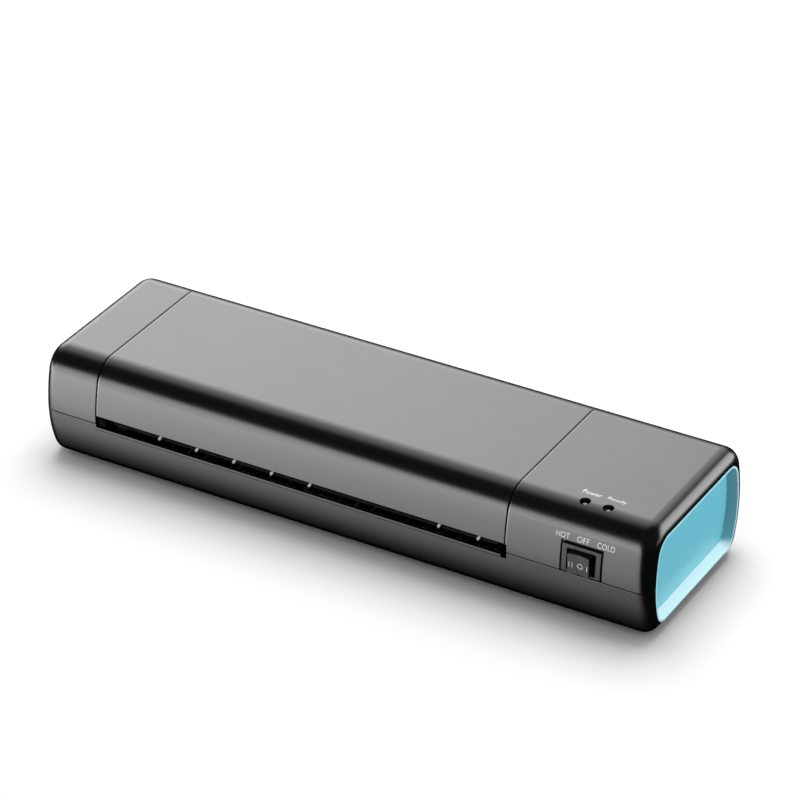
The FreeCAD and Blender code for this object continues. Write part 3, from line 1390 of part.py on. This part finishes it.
def plug_pins():
    """Two round mains pins with thin necks inside their sleeves and full-size tips."""
    level = size("plug_height") / 2 + 0.05
    pins = []
    for n, y in enumerate(pin_places()):
        neck = rod(f"PinNeck{n}", "x", (y, level), (f"{PLUG_FACE} - pin_length + 8.5", PLUG_FACE + 12), 1.5)
        tip = rod(
            f"PinTip{n}", "x", (y, level),
            (f"{PLUG_FACE} - pin_length", f"{PLUG_FACE} - pin_length + 8.98"), "pin_radius",
        )
        rounded = doc.addObject("Part::Fillet", f"PinRound{n}")
        rounded.Base = tip
        doc.recompute()
        rounded.Edges = [
            (number, 0.9, 0.9)
            for number, edge in enumerate(tip.Shape.Edges, start=1)
            if edge.BoundBox.XMax < PLUG_FACE - size("pin_length") + 0.1
        ]
        pins.append(fuse(f"Pin{n}", [neck, rounded]))
    keep("plug_pins", group("PlugPins", pins))


def export():
    """Check every object and sub-part, then write the sub-parts' files."""
    doc.recompute()
    broken = [thing.Name for thing in doc.Objects if {"Invalid", "Error"} & set(thing.State)]
    bad = [part.Label for part in subparts if part.Shape.isNull() or not part.Shape.isValid()]
    if broken or bad:
        raise RuntimeError(f"failed objects: {broken}; bad shapes: {bad}")
    os.makedirs("parts", exist_ok=True)
    for part in subparts:
        part.Shape.exportStep(f"parts/{part.Label}.step")


centre_cover()
end_cover("left_cover", -1, LEFT_POSTS)
end_cover("right_cover", 1, RIGHT_POSTS)
lower_housing()
end_cap("left_end_cap", -1)
end_cap("right_end_cap", 1)
feet()
casing_screws()
guides("entry", -1, 39.2)
guides("exit", 1, 32.5)
side_plate("left_side_plate", -1)
side_plate("right_side_plate", 1)
tie_rods()
frame_screws()
roller("lower")
roller("upper")
lower_bushes()
upper_bearings()
gear_train()
motor()
heaters()
switch()
lamp("power_lamp", "PowerLamp", "lamp_one")
lamp("ready_lamp", "ReadyLamp", "lamp_two")
boards()
wiring()
power_cord()
cord_grommet()
plug_body()
plug_pins()
export()
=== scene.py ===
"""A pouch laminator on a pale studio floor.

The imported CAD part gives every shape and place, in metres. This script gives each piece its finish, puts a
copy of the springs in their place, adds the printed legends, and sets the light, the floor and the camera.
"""

import math

import bmesh
import bpy
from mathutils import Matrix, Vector


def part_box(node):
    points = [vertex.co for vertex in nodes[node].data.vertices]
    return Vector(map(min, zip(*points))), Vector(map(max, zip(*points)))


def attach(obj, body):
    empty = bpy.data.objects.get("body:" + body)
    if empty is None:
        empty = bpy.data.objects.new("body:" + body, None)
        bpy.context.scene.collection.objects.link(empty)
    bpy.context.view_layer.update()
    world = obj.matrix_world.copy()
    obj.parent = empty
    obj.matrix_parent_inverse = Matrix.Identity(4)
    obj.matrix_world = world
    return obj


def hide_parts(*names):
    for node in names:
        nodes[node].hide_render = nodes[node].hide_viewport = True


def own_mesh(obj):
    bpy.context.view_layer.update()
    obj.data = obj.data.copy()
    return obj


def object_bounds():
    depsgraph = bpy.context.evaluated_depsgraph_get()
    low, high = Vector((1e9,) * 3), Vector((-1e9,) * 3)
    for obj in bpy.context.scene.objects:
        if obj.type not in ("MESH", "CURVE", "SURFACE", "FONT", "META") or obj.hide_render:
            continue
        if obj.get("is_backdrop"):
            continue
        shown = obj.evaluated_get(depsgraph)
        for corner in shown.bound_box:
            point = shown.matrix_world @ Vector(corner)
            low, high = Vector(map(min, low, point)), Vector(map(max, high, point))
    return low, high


MM = 0.001

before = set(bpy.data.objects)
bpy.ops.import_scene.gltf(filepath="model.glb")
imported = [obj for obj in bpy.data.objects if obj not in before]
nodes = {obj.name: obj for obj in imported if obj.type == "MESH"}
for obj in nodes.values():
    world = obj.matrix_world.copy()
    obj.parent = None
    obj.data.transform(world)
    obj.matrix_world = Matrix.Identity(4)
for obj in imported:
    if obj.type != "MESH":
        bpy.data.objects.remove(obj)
cad_low, cad_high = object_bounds()


# ---------------------------------------------------------------- node graphs


# A Mix node's inputs for the factor and the two colours, and its colour output.
MIX_INPUTS = (0, 6, 7)
MIX_OUTPUT = 2


class Graph:
    """A material's or world's node tree, built by short calls that return output sockets."""

    def __init__(self, owner):
        owner.use_nodes = True
        self.tree = owner.node_tree
        self.tree.nodes.clear()

    @classmethod
    def of(cls, material):
        """The graph of a material that is already built."""
        graph = cls.__new__(cls)
        graph.tree = material.node_tree
        return graph

    def shader(self):
        return next(node for node in self.tree.nodes if node.type == "BSDF_PRINCIPLED")

    def add(self, kind, settings=None, **inputs):
        """A node of that kind; settings are its attributes, inputs its input values or sockets by name."""
        node = self.tree.nodes.new(kind)
        for key, value in (settings or {}).items():
            setattr(node, key, value)
        for key, value in inputs.items():
            self.feed(node, key.replace("_", " "), value)
        return node

    def feed(self, node, key, value):
        """Sets an input by its name, or by its place when key is a number."""
        socket = node.inputs[int(key)] if key.isdigit() else node.inputs[key]
        if isinstance(value, bpy.types.NodeSocket):
            self.tree.links.new(value, socket)
        else:
            socket.default_value = value

    def maths(self, operation, first, second=0.0, third=0.0, clamp=False):
        node = self.add("ShaderNodeMath", {"operation": operation, "use_clamp": clamp})
        for place, value in enumerate((first, second, third)):
            self.feed(node, str(place), value)
        return node.outputs[0]

    def vector(self, operation, first, second):
        node = self.add("ShaderNodeVectorMath", {"operation": operation})
        self.feed(node, "0", first)
        self.feed(node, "1", second)
        return node

    def remap(self, value, span, onto=(0.0, 1.0), smooth=False):
        """value taken from one span onto another, clamped."""
        mode = "SMOOTHSTEP" if smooth else "LINEAR"
        node = self.add("ShaderNodeMapRange", {"interpolation_type": mode}, Value=value)
        for key, number in zip(("From Min", "From Max", "To Min", "To Max"), (*span, *onto)):
            node.inputs[key].default_value = number
        return node.outputs["Result"]

    def blend(self, share, first, second, mode="MIX"):
        """One colour mixed over another."""
        node = self.add("ShaderNodeMix", {"data_type": "RGBA", "blend_type": mode})
        for place, value in zip(MIX_INPUTS, (share, first, second)):
            self.feed(node, str(place), value)
        return node.outputs[MIX_OUTPUT]

    def place(self, stretch=(1.0, 1.0, 1.0)):
        """The point in metres, scaled along the axes by stretch."""
        spot = self.add("ShaderNodeTexCoord").outputs["Object"]
        mapping = self.add("ShaderNodeMapping", Vector=spot)
        mapping.inputs["Scale"].default_value = stretch
        return mapping.outputs["Vector"]

    def noise(self, size, detail=3.0, rough=0.5, stretch=(1.0, 1.0, 1.0)):
        """Smooth noise whose features are about size metres across."""
        node = self.add(
            "ShaderNodeTexNoise",
            Vector=self.place(stretch),
            Scale=1.0 / size,
            Detail=detail,
            Roughness=rough,
        )
        return node.outputs["Fac"]

    def bump(self, height, depth):
        """A bumped normal; depth is in metres."""
        return self.add("ShaderNodeBump", Height=height, Distance=depth, Strength=1.0).outputs["Normal"]


def rgb(red, green, blue):
    """A colour given as 0 to 255 screen values, as linear light."""

    def linear(value):
        share = value / 255.0
        return share / 12.92 if share <= 0.04045 else ((share + 0.055) / 1.055) ** 2.4

    return (linear(red), linear(green), linear(blue), 1.0)


# ---------------------------------------------------------------- finishes


def surface(name, colour, rough, metallic=0.0, **extra):
    """A material with a Principled shader; returns the material, its graph and the shader."""
    made = bpy.data.materials.new(name)
    graph = Graph(made)
    shader = graph.add("ShaderNodeBsdfPrincipled", Roughness=rough, Metallic=metallic)
    graph.feed(shader, "Base Color", colour)
    for key, value in extra.items():
        graph.feed(shader, key.replace("_", " "), value)
    output = graph.add("ShaderNodeOutputMaterial")
    graph.tree.links.new(shader.outputs[0], output.inputs[0])
    return made, graph, shader


def plastic(name, dark, light, rough, grain=0.35 * MM, depth=0.004 * MM, blotch=40 * MM, **extra):
    """Moulded plastic: a fine mould grain, with faint flow marks in colour and gloss."""
    made, graph, shader = surface(name, dark, rough[0], **extra)
    broad = graph.noise(blotch, 2.0)
    fine = graph.noise(grain, 4.0, 0.6)
    tone = graph.maths("ADD", graph.maths("MULTIPLY", broad, 0.6), graph.maths("MULTIPLY", fine, 0.4))
    graph.feed(shader, "Base Color", graph.blend(graph.remap(tone, (0.3, 0.7)), dark, light))
    wiped = graph.noise(9 * MM, 3.0, 0.55, stretch=(0.35, 1.0, 1.0))
    gloss = graph.maths("ADD", graph.maths("MULTIPLY", wiped, 0.5), graph.maths("MULTIPLY", fine, 0.5))
    graph.feed(shader, "Roughness", graph.remap(gloss, (0.3, 0.7), rough))
    graph.feed(shader, "Normal", graph.bump(fine, depth))
    return made


# Painted highlight along the seams: how much the specular level rises, how far right of each seam the line
# lies, and over what distance it fades out.
SEAM_HIGHLIGHT_PAINT = 0.4
SEAM_HIGHLIGHT_PLACE = 0.5 * MM
SEAM_HIGHLIGHT_FADE = (0.75 * MM, 0.45 * MM)


def casing_plastic():
    """The glossy black of the shells, with a painted highlight: the specular level is raised in a thin line
    just to the right of each of the two seams, above the parting.
    """
    made = plastic("casing", rgb(9, 9, 10), rgb(14, 14, 15), (0.2, 0.25), depth=0.001 * MM)
    graph = Graph.of(made)
    spot = graph.add("ShaderNodeSeparateXYZ", Vector=graph.place())
    highlight_lines = 0.0
    for node in ("centre_cover", "right_cover"):
        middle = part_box(node)[0].x + SEAM_HIGHLIGHT_PLACE
        off_line = graph.maths("ABSOLUTE", graph.maths("SUBTRACT", spot.outputs["X"], middle))
        highlight_lines = graph.maths("ADD", graph.remap(off_line, SEAM_HIGHLIGHT_FADE), highlight_lines)
    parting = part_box("right_cover")[0].z
    above_parting = graph.remap(spot.outputs["Z"], (parting - 0.2 * MM, parting), (0.0, SEAM_HIGHLIGHT_PAINT))
    # Painted highlight: extra specular on the seam lines, only above the parting.
    specular = graph.maths("MULTIPLY_ADD", highlight_lines, above_parting, 0.5)
    graph.feed(graph.shader(), "Specular IOR Level", specular)
    return made


# Painted light on the caps: the paler blue of the ledge that faces up, as if lit from above, and the blue of
# the rim's painted highlight.
LEDGE_LIT_BLUE = (0.27, 0.40, 0.43, 1.0)
RIM_HIGHLIGHT_BLUE = (0.30, 0.53, 0.58, 1.0)
BOUNCED_GREY = (0.3, 0.3, 0.3, 1.0)


def coloured_plastic():
    """The light blue of the end caps, with painted light: paler on the ledge that faces up, as if lit from
    above, and a painted highlight on the rim.

    It throws only grey light on what is round it, so that the floor stays grey.
    """
    made = plastic("cap_blue", rgb(88, 161, 178), rgb(92, 165, 182), (0.3, 0.38), depth=0.002 * MM)
    graph = Graph.of(made)
    shader = graph.shader()
    colour = shader.inputs["Base Color"].links[0].from_socket
    facing = graph.add("ShaderNodeNewGeometry").outputs["Normal"]
    upward = graph.add("ShaderNodeSeparateXYZ", Vector=facing).outputs["Z"]
    # Painted light: faces turned upwards are paler, as if lit from above.
    colour = graph.blend(graph.remap(upward, (0.5, 0.85)), colour, LEDGE_LIT_BLUE)
    # Painted highlight: the outermost half millimetre of the rim is paler.
    along = graph.add("ShaderNodeSeparateXYZ", Vector=graph.place()).outputs["X"]
    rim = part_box("right_end_cap")[1].x
    rim_highlight = graph.remap(graph.maths("ABSOLUTE", along), (rim - 0.5 * MM, rim - 0.1 * MM))
    colour = graph.blend(rim_highlight, colour, RIM_HIGHLIGHT_BLUE)
    bounced = graph.add("ShaderNodeLightPath").outputs["Is Diffuse Ray"]
    graph.feed(shader, "Base Color", graph.blend(bounced, colour, BOUNCED_GREY))
    return made


def metal(name, dark, light, rough, stretch=(1.0, 1.0, 1.0), grain=0.5 * MM, depth=0.003 * MM):
    """Bare metal with a rolled, drawn or turned grain, long on an axis whose stretch is below 1."""
    made, graph, shader = surface(name, dark, rough[0], metallic=1.0)
    drawn = graph.noise(grain, 3.0, 0.6, stretch)
    cloudy = graph.noise(14 * MM, 3.0)
    graph.feed(shader, "Base Color", graph.blend(graph.remap(cloudy, (0.35, 0.65)), dark, light))
    graph.feed(shader, "Roughness", graph.remap(drawn, (0.3, 0.7), rough))
    graph.feed(shader, "Normal", graph.bump(drawn, depth))
    return made


def rubber(name, dark, light, rough, sheen=0.3):
    """Soft plastic or rubber: matt, a little dusty, with a fine tooth."""
    made, graph, shader = surface(name, dark, rough[0], Sheen_Weight=sheen, Sheen_Roughness=0.5)
    tooth = graph.noise(0.25 * MM, 3.0, 0.6)
    dust = graph.noise(6 * MM, 4.0, 0.6)
    graph.feed(shader, "Base Color", graph.blend(graph.remap(dust, (0.42, 0.75)), dark, light))
    graph.feed(shader, "Roughness", graph.remap(tooth, (0.3, 0.7), rough))
    graph.feed(shader, "Normal", graph.bump(tooth, 0.01 * MM))
    return made


def sheet(name, tint, threads, rough):
    """A board or laminate: a fine woven ground under a thin skin."""
    made, graph, shader = surface(name, tint, rough, Coat_Weight=0.4, Coat_Roughness=0.2)
    weave = graph.add("ShaderNodeTexWave", Vector=graph.place(), Scale=threads).outputs["Fac"]
    pale = tuple(min(1.0, part * 1.5) for part in tint[:3]) + (1.0,)
    share = graph.maths("MULTIPLY", weave, graph.noise(3 * MM, 3.0))
    graph.feed(shader, "Base Color", graph.blend(share, tint, pale))
    graph.feed(shader, "Normal", graph.bump(weave, 0.01 * MM))
    return made


def clear_plastic():
    """A milky, half clear lamp lens under a thin gloss."""
    glass = {"Transmission_Weight": 0.55, "IOR": 1.5, "Coat_Weight": 0.3}
    made, graph, shader = surface("lamp_clear", rgb(214, 222, 224), 0.2, **glass)
    milk = graph.noise(1.2 * MM, 2.0)
    graph.feed(shader, "Base Color", graph.blend(milk, rgb(112, 118, 120), rgb(176, 182, 184)))
    graph.feed(shader, "Normal", graph.bump(graph.noise(0.6 * MM), 0.004 * MM))
    return made


def legend_ink(name, colour):
    """Pad-printed ink: matt, with a slightly uneven tone."""
    made, graph, shader = surface(name, colour, 0.5)
    speck = graph.noise(0.25 * MM, 2.0)
    dull = tuple(part * 0.82 for part in colour[:3]) + (1.0,)
    graph.feed(shader, "Base Color", graph.blend(graph.remap(speck, (0.35, 0.6)), dull, colour))
    return made


INNER_DARK, INNER_LIGHT, INNER_ROUGH = rgb(8, 8, 9), rgb(13, 13, 14), (0.55, 0.65)
INNER_SPECULAR = 0.2
SWITCH_SPECULAR = 0.28
FINISHES = {
    "casing": casing_plastic(),
    "cap_blue": coloured_plastic(),
    "switch_black": plastic(
        "switch_black",
        rgb(12, 12, 13),
        rgb(18, 18, 19),
        (0.26, 0.32),
        depth=0.002 * MM,
        Specular_IOR_Level=SWITCH_SPECULAR,
    ),
    "inner_plastic": plastic(
        "inner_plastic", INNER_DARK, INNER_LIGHT, INNER_ROUGH, Specular_IOR_Level=INNER_SPECULAR
    ),
    "gear_plastic": plastic("gear_plastic", rgb(216, 212, 196), rgb(230, 227, 214), (0.4, 0.5)),
    "bakelite": plastic("bakelite", rgb(44, 30, 22), rgb(60, 42, 30), (0.3, 0.42)),
    "connector": plastic("connector", rgb(214, 216, 210), rgb(232, 233, 228), (0.42, 0.52)),
    "wire": plastic("wire", rgb(138, 40, 34), rgb(160, 54, 44), (0.4, 0.5)),
    "cord_black": rubber("cord_black", rgb(15, 15, 16), rgb(31, 31, 32), (0.36, 0.5), 0.15),
    "rubber_black": rubber("rubber_black", rgb(19, 19, 19), rgb(40, 39, 37), (0.6, 0.8)),
    "silicone": rubber("silicone", rgb(150, 62, 44), rgb(176, 84, 62), (0.42, 0.55)),
    "steel": metal("steel", rgb(160, 162, 165), rgb(186, 188, 190), (0.22, 0.38), (0.15, 1, 1)),
    "sheet_steel": metal("sheet_steel", rgb(150, 154, 158), rgb(184, 187, 190), (0.3, 0.48), (1, 0.2, 1)),
    "spring_steel": metal("spring_steel", rgb(120, 122, 126), rgb(158, 160, 164), (0.24, 0.38)),
    "bronze": metal("bronze", rgb(168, 122, 74), rgb(196, 150, 96), (0.28, 0.42)),
    "aluminium": metal("aluminium", rgb(186, 188, 190), rgb(208, 210, 211), (0.3, 0.44), (0.1, 1, 1)),
    "pin_metal": metal("pin_metal", rgb(198, 198, 196), rgb(222, 221, 217), (0.14, 0.26), (0.2, 1, 1)),
    "mica": sheet("mica", rgb(168, 150, 116), 900, 0.35),
    "board_green": sheet("board_green", rgb(30, 92, 52), 1400, 0.4),
    "lamp_clear": clear_plastic(),
}

for node in nodes.values():
    for place in node.material_slots:
        place.material = FINISHES[place.name.split(".")[0]]


# Painted highlights on the guide ribs: their pale colour and glow, the depth of the crests below the guides'
# top, and where across the slot they start and end.
RIB_GLINT = rgb(225, 225, 225)
RIB_GLINT_GLOW = 0.35
RIB_GLINT_DEPTH = 1.55 * MM
RIB_GLINT_START = (65.1 * MM, 65.3 * MM)
RIB_GLINT_END = (68.4 * MM, 68.0 * MM)


def rib_finish(crest):
    """The guides' dark plastic, with painted highlights: pale and faintly glowing on the rib crests and on
    the ribs' noses behind the slot, in place of glints of light.
    """
    made = plastic(
        "inner_plastic_ribs", INNER_DARK, INNER_LIGHT, INNER_ROUGH, Specular_IOR_Level=INNER_SPECULAR
    )
    graph = Graph.of(made)
    shader = graph.shader()
    spot = graph.add("ShaderNodeSeparateXYZ", Vector=graph.place())
    across = graph.maths("ABSOLUTE", spot.outputs["Y"])
    high = graph.remap(spot.outputs["Z"], (crest, crest + 0.15 * MM))
    nose = graph.remap(across, RIB_GLINT_START)
    inside = graph.remap(across, RIB_GLINT_END)
    # Painted glints: pale and glowing above the crests and past the noses, up to the end of the painted
    # span.
    glint = graph.maths("MULTIPLY", graph.maths("MAXIMUM", high, nose), inside)
    colour = shader.inputs["Base Color"].links[0].from_socket
    graph.feed(shader, "Base Color", graph.blend(glint, colour, RIB_GLINT))
    graph.feed(shader, "Emission Color", RIB_GLINT)
    graph.feed(shader, "Emission Strength", graph.maths("MULTIPLY", glint, RIB_GLINT_GLOW))
    return made


for name in ("lower_entry_guide", "lower_exit_guide"):
    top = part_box(name)[1].z
    nodes[name].material_slots[0].material = rib_finish(top - RIB_GLINT_DEPTH)


# ---------------------------------------------------------------- springs


def shortening_springs():
    """The pressure springs: a copy of their mesh, attached to the frame in place of the CAD node."""
    coils = bpy.data.objects.new("shortening_springs", nodes["pressure_springs"].data.copy())
    bpy.context.scene.collection.objects.link(coils)
    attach(coils, "frame")
    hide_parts("pressure_springs")
    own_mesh(coils)


shortening_springs()


# ---------------------------------------------------------------- printed legends


LEGEND_PROUD = 0.04 * MM
LEGEND_SUNK = 0.08 * MM
CLEAR_OF_CASING = 20 * MM
X_AXIS, Y_AXIS, Z_AXIS = (1, 0, 0), (0, 1, 0), (0, 0, 1)
FRONT = (X_AXIS, Z_AXIS, (0, -1, 0))
TOP = (X_AXIS, Y_AXIS, Z_AXIS)


def surface_point(target, spot, heading):
    """Where a ray from spot along heading meets a CAD node."""
    hit, where, _, _ = nodes[target].ray_cast(Vector(spot), Vector(heading))
    if not hit:
        raise ValueError(f"nothing of {target} lies in front of {spot}")
    return where


def legend(name, words, middle, size, frame_axes, target, ink, body="frame"):
    """Closed raised lettering laid on a CAD surface.

    middle is the centre of the lettering, off the surface, and size is its width and height. frame_axes are
    the reading direction, the upward direction and the outward direction. Each vertex drops onto the target
    against the outward direction.
    """
    right, up, out = (Vector(axis) for axis in frame_axes)
    curve = bpy.data.curves.new(name, "FONT")
    curve.body = words
    curve.extrude = 0.5
    holder = bpy.data.objects.new(name, curve)
    bpy.context.scene.collection.objects.link(holder)
    bpy.context.view_layer.update()
    mesh = bpy.data.meshes.new_from_object(holder)
    bpy.data.objects.remove(holder)
    lows = [min(v.co[axis] for v in mesh.vertices) for axis in range(2)]
    highs = [max(v.co[axis] for v in mesh.vertices) for axis in range(2)]
    wide, tall = (size[axis] / (highs[axis] - lows[axis]) for axis in range(2))
    solid = bmesh.new()
    solid.from_mesh(mesh)
    bmesh.ops.remove_doubles(solid, verts=solid.verts, dist=1e-5)
    for vertex in solid.verts:
        across = (vertex.co.x - (lows[0] + highs[0]) / 2) * wide
        above = (vertex.co.y - (lows[1] + highs[1]) / 2) * tall
        raised = LEGEND_PROUD if vertex.co.z > 0 else -LEGEND_SUNK
        start = Vector(middle) + right * across + up * above
        vertex.co = surface_point(target, start, -out) + out * raised
    bmesh.ops.recalc_face_normals(solid, faces=solid.faces)
    solid.to_mesh(mesh)
    solid.free()
    mesh.materials.clear()
    mesh.materials.append(ink)
    piece = bpy.data.objects.new(name, mesh)
    bpy.context.scene.collection.objects.link(piece)
    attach(piece, body)


white_ink = legend_ink("white_ink", rgb(236, 236, 236))
grey_ink = legend_ink("grey_ink", rgb(214, 214, 214))

case_low, case_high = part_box("right_cover")
front_start = case_low.y - CLEAR_OF_CASING
top_start = case_high.z + CLEAR_OF_CASING
SETTING_SIZE, SETTING_LEVEL = 4.1 * MM, 69.4 * MM
for name, words, low, high in (
    ("legend_hot", "HOT", 171.0, 181.0),
    ("legend_off", "OFF", 186.7, 195.9),
    ("legend_cold", "COLD", 201.8, 215.0),
):
    spot = ((low + high) / 2 * MM, front_start, SETTING_LEVEL)
    legend(name, words, spot, ((high - low) * MM, SETTING_SIZE), FRONT, "right_cover", white_ink)
LAMP_WORD_SIZE, LAMP_WORD_DEPTH = 4.6 * MM, -42.0 * MM
for name, words, low, high in (
    ("legend_power", "Power", 175.9, 190.2),
    ("legend_ready", "Ready", 194.4, 208.3),
):
    spot = ((low + high) / 2 * MM, LAMP_WORD_DEPTH, top_start)
    legend(name, words, spot, ((high - low) * MM, LAMP_WORD_SIZE), TOP, "right_cover", white_ink)
SIGN_SIZE, SIGN_LEVEL = 4.1 * MM, 52.0 * MM
for name, words, middle, wide in (
    ("legend_two", "I I", 185.3, 2.5),
    ("legend_nought", "O", 192.1, 4.4),
    ("legend_one", "I", 197.6, 0.55),
):
    spot = (middle * MM, front_start, SIGN_LEVEL)
    legend(name, words, spot, (wide * MM, SIGN_SIZE), FRONT, "switch_rocker", grey_ink, "switch_rocker")


# ---------------------------------------------------------------- studio


def seen_by(graph, glossy, other):
    """One shader as it is mirrored in other surfaces, and another one everywhere else."""
    path = graph.add("ShaderNodeLightPath")
    mix = graph.add("ShaderNodeMixShader")
    graph.tree.links.new(path.outputs["Is Glossy Ray"], mix.inputs[0])
    graph.tree.links.new(other, mix.inputs[1])
    graph.tree.links.new(glossy, mix.inputs[2])
    return mix.outputs[0]


def lobe(graph, heading, toward, inner, outer, strength):
    """A soft round box of light: full strength within inner degrees of toward, none beyond outer degrees."""
    aim = Vector(toward).normalized()
    cosine = graph.vector("DOT_PRODUCT", heading, tuple(aim)).outputs["Value"]
    span = (math.cos(math.radians(outer)), math.cos(math.radians(inner)))
    return graph.maths("MULTIPLY", graph.remap(cosine, span, smooth=True), strength)


# Each soft box: where it is, the angles at which it starts and stops fading, and its strength.
SOFT_BOXES = (
    ((-0.62, 0.66, 0.44), 8, 26, 2.9),
    ((-0.43, 0.62, 0.66), 4, 46, 2.15),
    ((0.12, 0.74, 0.66), 0, 30, 0.7),
    ((-0.52, -0.85, -0.17), 20, 38, 6.3),
    ((0.63, 0.74, 0.17), 11, 29, 6.3),
)
ROOM_GLOW = 0.03
SURROUNDINGS = 0.55


def studio_world():
    """White surroundings; what the glossy shells mirror is a dark room with a few large soft boxes."""
    world = bpy.data.worlds.new("studio")
    bpy.context.scene.world = world
    graph = Graph(world)
    heading = graph.add("ShaderNodeTexCoord").outputs["Generated"]
    total = ROOM_GLOW
    for box in SOFT_BOXES:
        total = graph.maths("ADD", lobe(graph, heading, *box), total)
    mirrored = graph.add("ShaderNodeBackground", Color=(1, 1, 1, 1), Strength=total)
    plain = graph.add("ShaderNodeBackground", Color=(1, 1, 1, 1), Strength=SURROUNDINGS)
    output = graph.add("ShaderNodeOutputWorld")
    graph.tree.links.new(seen_by(graph, mirrored.outputs[0], plain.outputs[0]), output.inputs[0])


# How the mirrored floor brightens: each step is the y it starts and ends at, and its rise.
FRONT_STEPS = (
    ((-0.065, -0.114), 2.1),
    ((-0.12, -0.15), 1.7),
    ((-0.15, -0.2), 0.9),
    ((-0.22, -0.6), 0.8),
)
FRONT_FADE_TO_RIGHT = ((-0.45, 0.3), (1.5, 0.62))
FRONT_RIGHT_END = (0.272, 0.236)
BACK_STEP = ((0.1, 0.5), 5.0)
BACK_LEFT_END = (0.45, 0.8)


def floor_finish():
    """A pale floor that the shells mirror as dark near the object and bright further off."""
    made = bpy.data.materials.new("floor")
    graph = Graph(made)
    spot = graph.add("ShaderNodeNewGeometry").outputs["Position"]
    parts = graph.add("ShaderNodeSeparateXYZ", Vector=spot)
    across, along = parts.outputs["X"], parts.outputs["Y"]
    ahead = 0.0
    for span, rise in FRONT_STEPS:
        ahead = graph.maths("ADD", graph.remap(along, span, (0.0, rise), smooth=True), ahead)
    front = graph.maths("MULTIPLY", ahead, graph.remap(across, *FRONT_FADE_TO_RIGHT))
    front = graph.maths("MULTIPLY", front, graph.remap(across, FRONT_RIGHT_END, smooth=True))
    span, rise = BACK_STEP
    behind = graph.remap(along, span, (0.0, rise), smooth=True)
    right = graph.remap(across, BACK_LEFT_END, smooth=True)
    glow = graph.add("ShaderNodeEmission", Strength=graph.maths("MULTIPLY_ADD", behind, right, front))
    paper = graph.noise(0.4, 2.0)
    colour = graph.blend(paper, (0.90, 0.90, 0.90, 1), (0.93, 0.93, 0.93, 1))
    pale = graph.add("ShaderNodeBsdfDiffuse", Color=colour)
    output = graph.add("ShaderNodeOutputMaterial")
    graph.tree.links.new(seen_by(graph, glow.outputs[0], pale.outputs[0]), output.inputs[0])
    return made


FLOOR_HALF = 4.0
FLOOR_DROP = 0.05 * MM


def floor():
    """A wide flat floor just under the feet."""
    mesh = bpy.data.meshes.new("floor")
    level = cad_low.z - FLOOR_DROP
    corners = [(x * FLOOR_HALF, y * FLOOR_HALF, level) for x, y in ((-1, -1), (1, -1), (1, 1), (-1, 1))]
    mesh.from_pydata(corners, [], [(0, 1, 2, 3)])
    mesh.materials.append(floor_finish())
    ground = bpy.data.objects.new("floor", mesh)
    bpy.context.scene.collection.objects.link(ground)
    ground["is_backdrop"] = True


def soft_light(name, place, aim, side, power, only=(), shadow=True):
    """A large square area light that isn't mirrored in the shells; it may light only some CAD nodes."""
    lamp = bpy.data.lights.new(name, "AREA")
    lamp.size = side
    lamp.energy = power
    lamp.use_shadow = shadow
    holder = bpy.data.objects.new(name, lamp)
    holder.location = place
    holder.rotation_euler = (Vector(aim) - Vector(place)).to_track_quat("-Z", "Y").to_euler()
    holder.visible_glossy = False
    bpy.context.scene.collection.objects.link(holder)
    if only:
        lit = bpy.data.collections.new(name + "_only")
        for node in only:
            lit.objects.link(nodes[node])
        holder.light_linking.receiver_collection = lit


def camera(azimuth, elevation, lens, distance, target):
    """A long lens above and to the right of the front."""
    data = bpy.data.cameras.new("camera")
    data.lens = lens
    data.sensor_width = 36.0
    data.clip_start = 0.1
    data.clip_end = 50.0
    holder = bpy.data.objects.new("camera", data)
    turn, tilt = math.radians(azimuth), math.radians(elevation)
    back = Vector((math.sin(turn) * math.cos(tilt), -math.cos(turn) * math.cos(tilt), math.sin(tilt)))
    holder.location = Vector(target) + back * distance
    holder.rotation_euler = (-back).to_track_quat("-Z", "Y").to_euler()
    bpy.context.scene.collection.objects.link(holder)
    bpy.context.scene.camera = holder


studio_world()
floor()
soft_light("key", place=(-0.2, 0.6, 2.2), aim=(0, 0, 0), side=1.8, power=42)
for side, cap in ((1, "right_end_cap"), (-1, "left_end_cap")):
    cap_middle = (side * 0.24, 0, 0.05)
    for suffix, place, power in (
        ("fill", (side * 0.9, 0.5, 0.95), 18),
        ("top", (side * 0.44, 0.3, 1.05), 10),
    ):
        soft_light(f"{cap}_{suffix}", place, cap_middle, side=0.4, power=power, only=(cap,), shadow=False)
camera(azimuth=29.9, elevation=31.35, lens=173.67, distance=2.6833, target=(10.2 * MM, 0, 86.5 * MM))
bpy.context.scene.view_settings.view_transform = "Standard"
bpy.context.scene.view_settings.look = "None"

low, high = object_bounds()
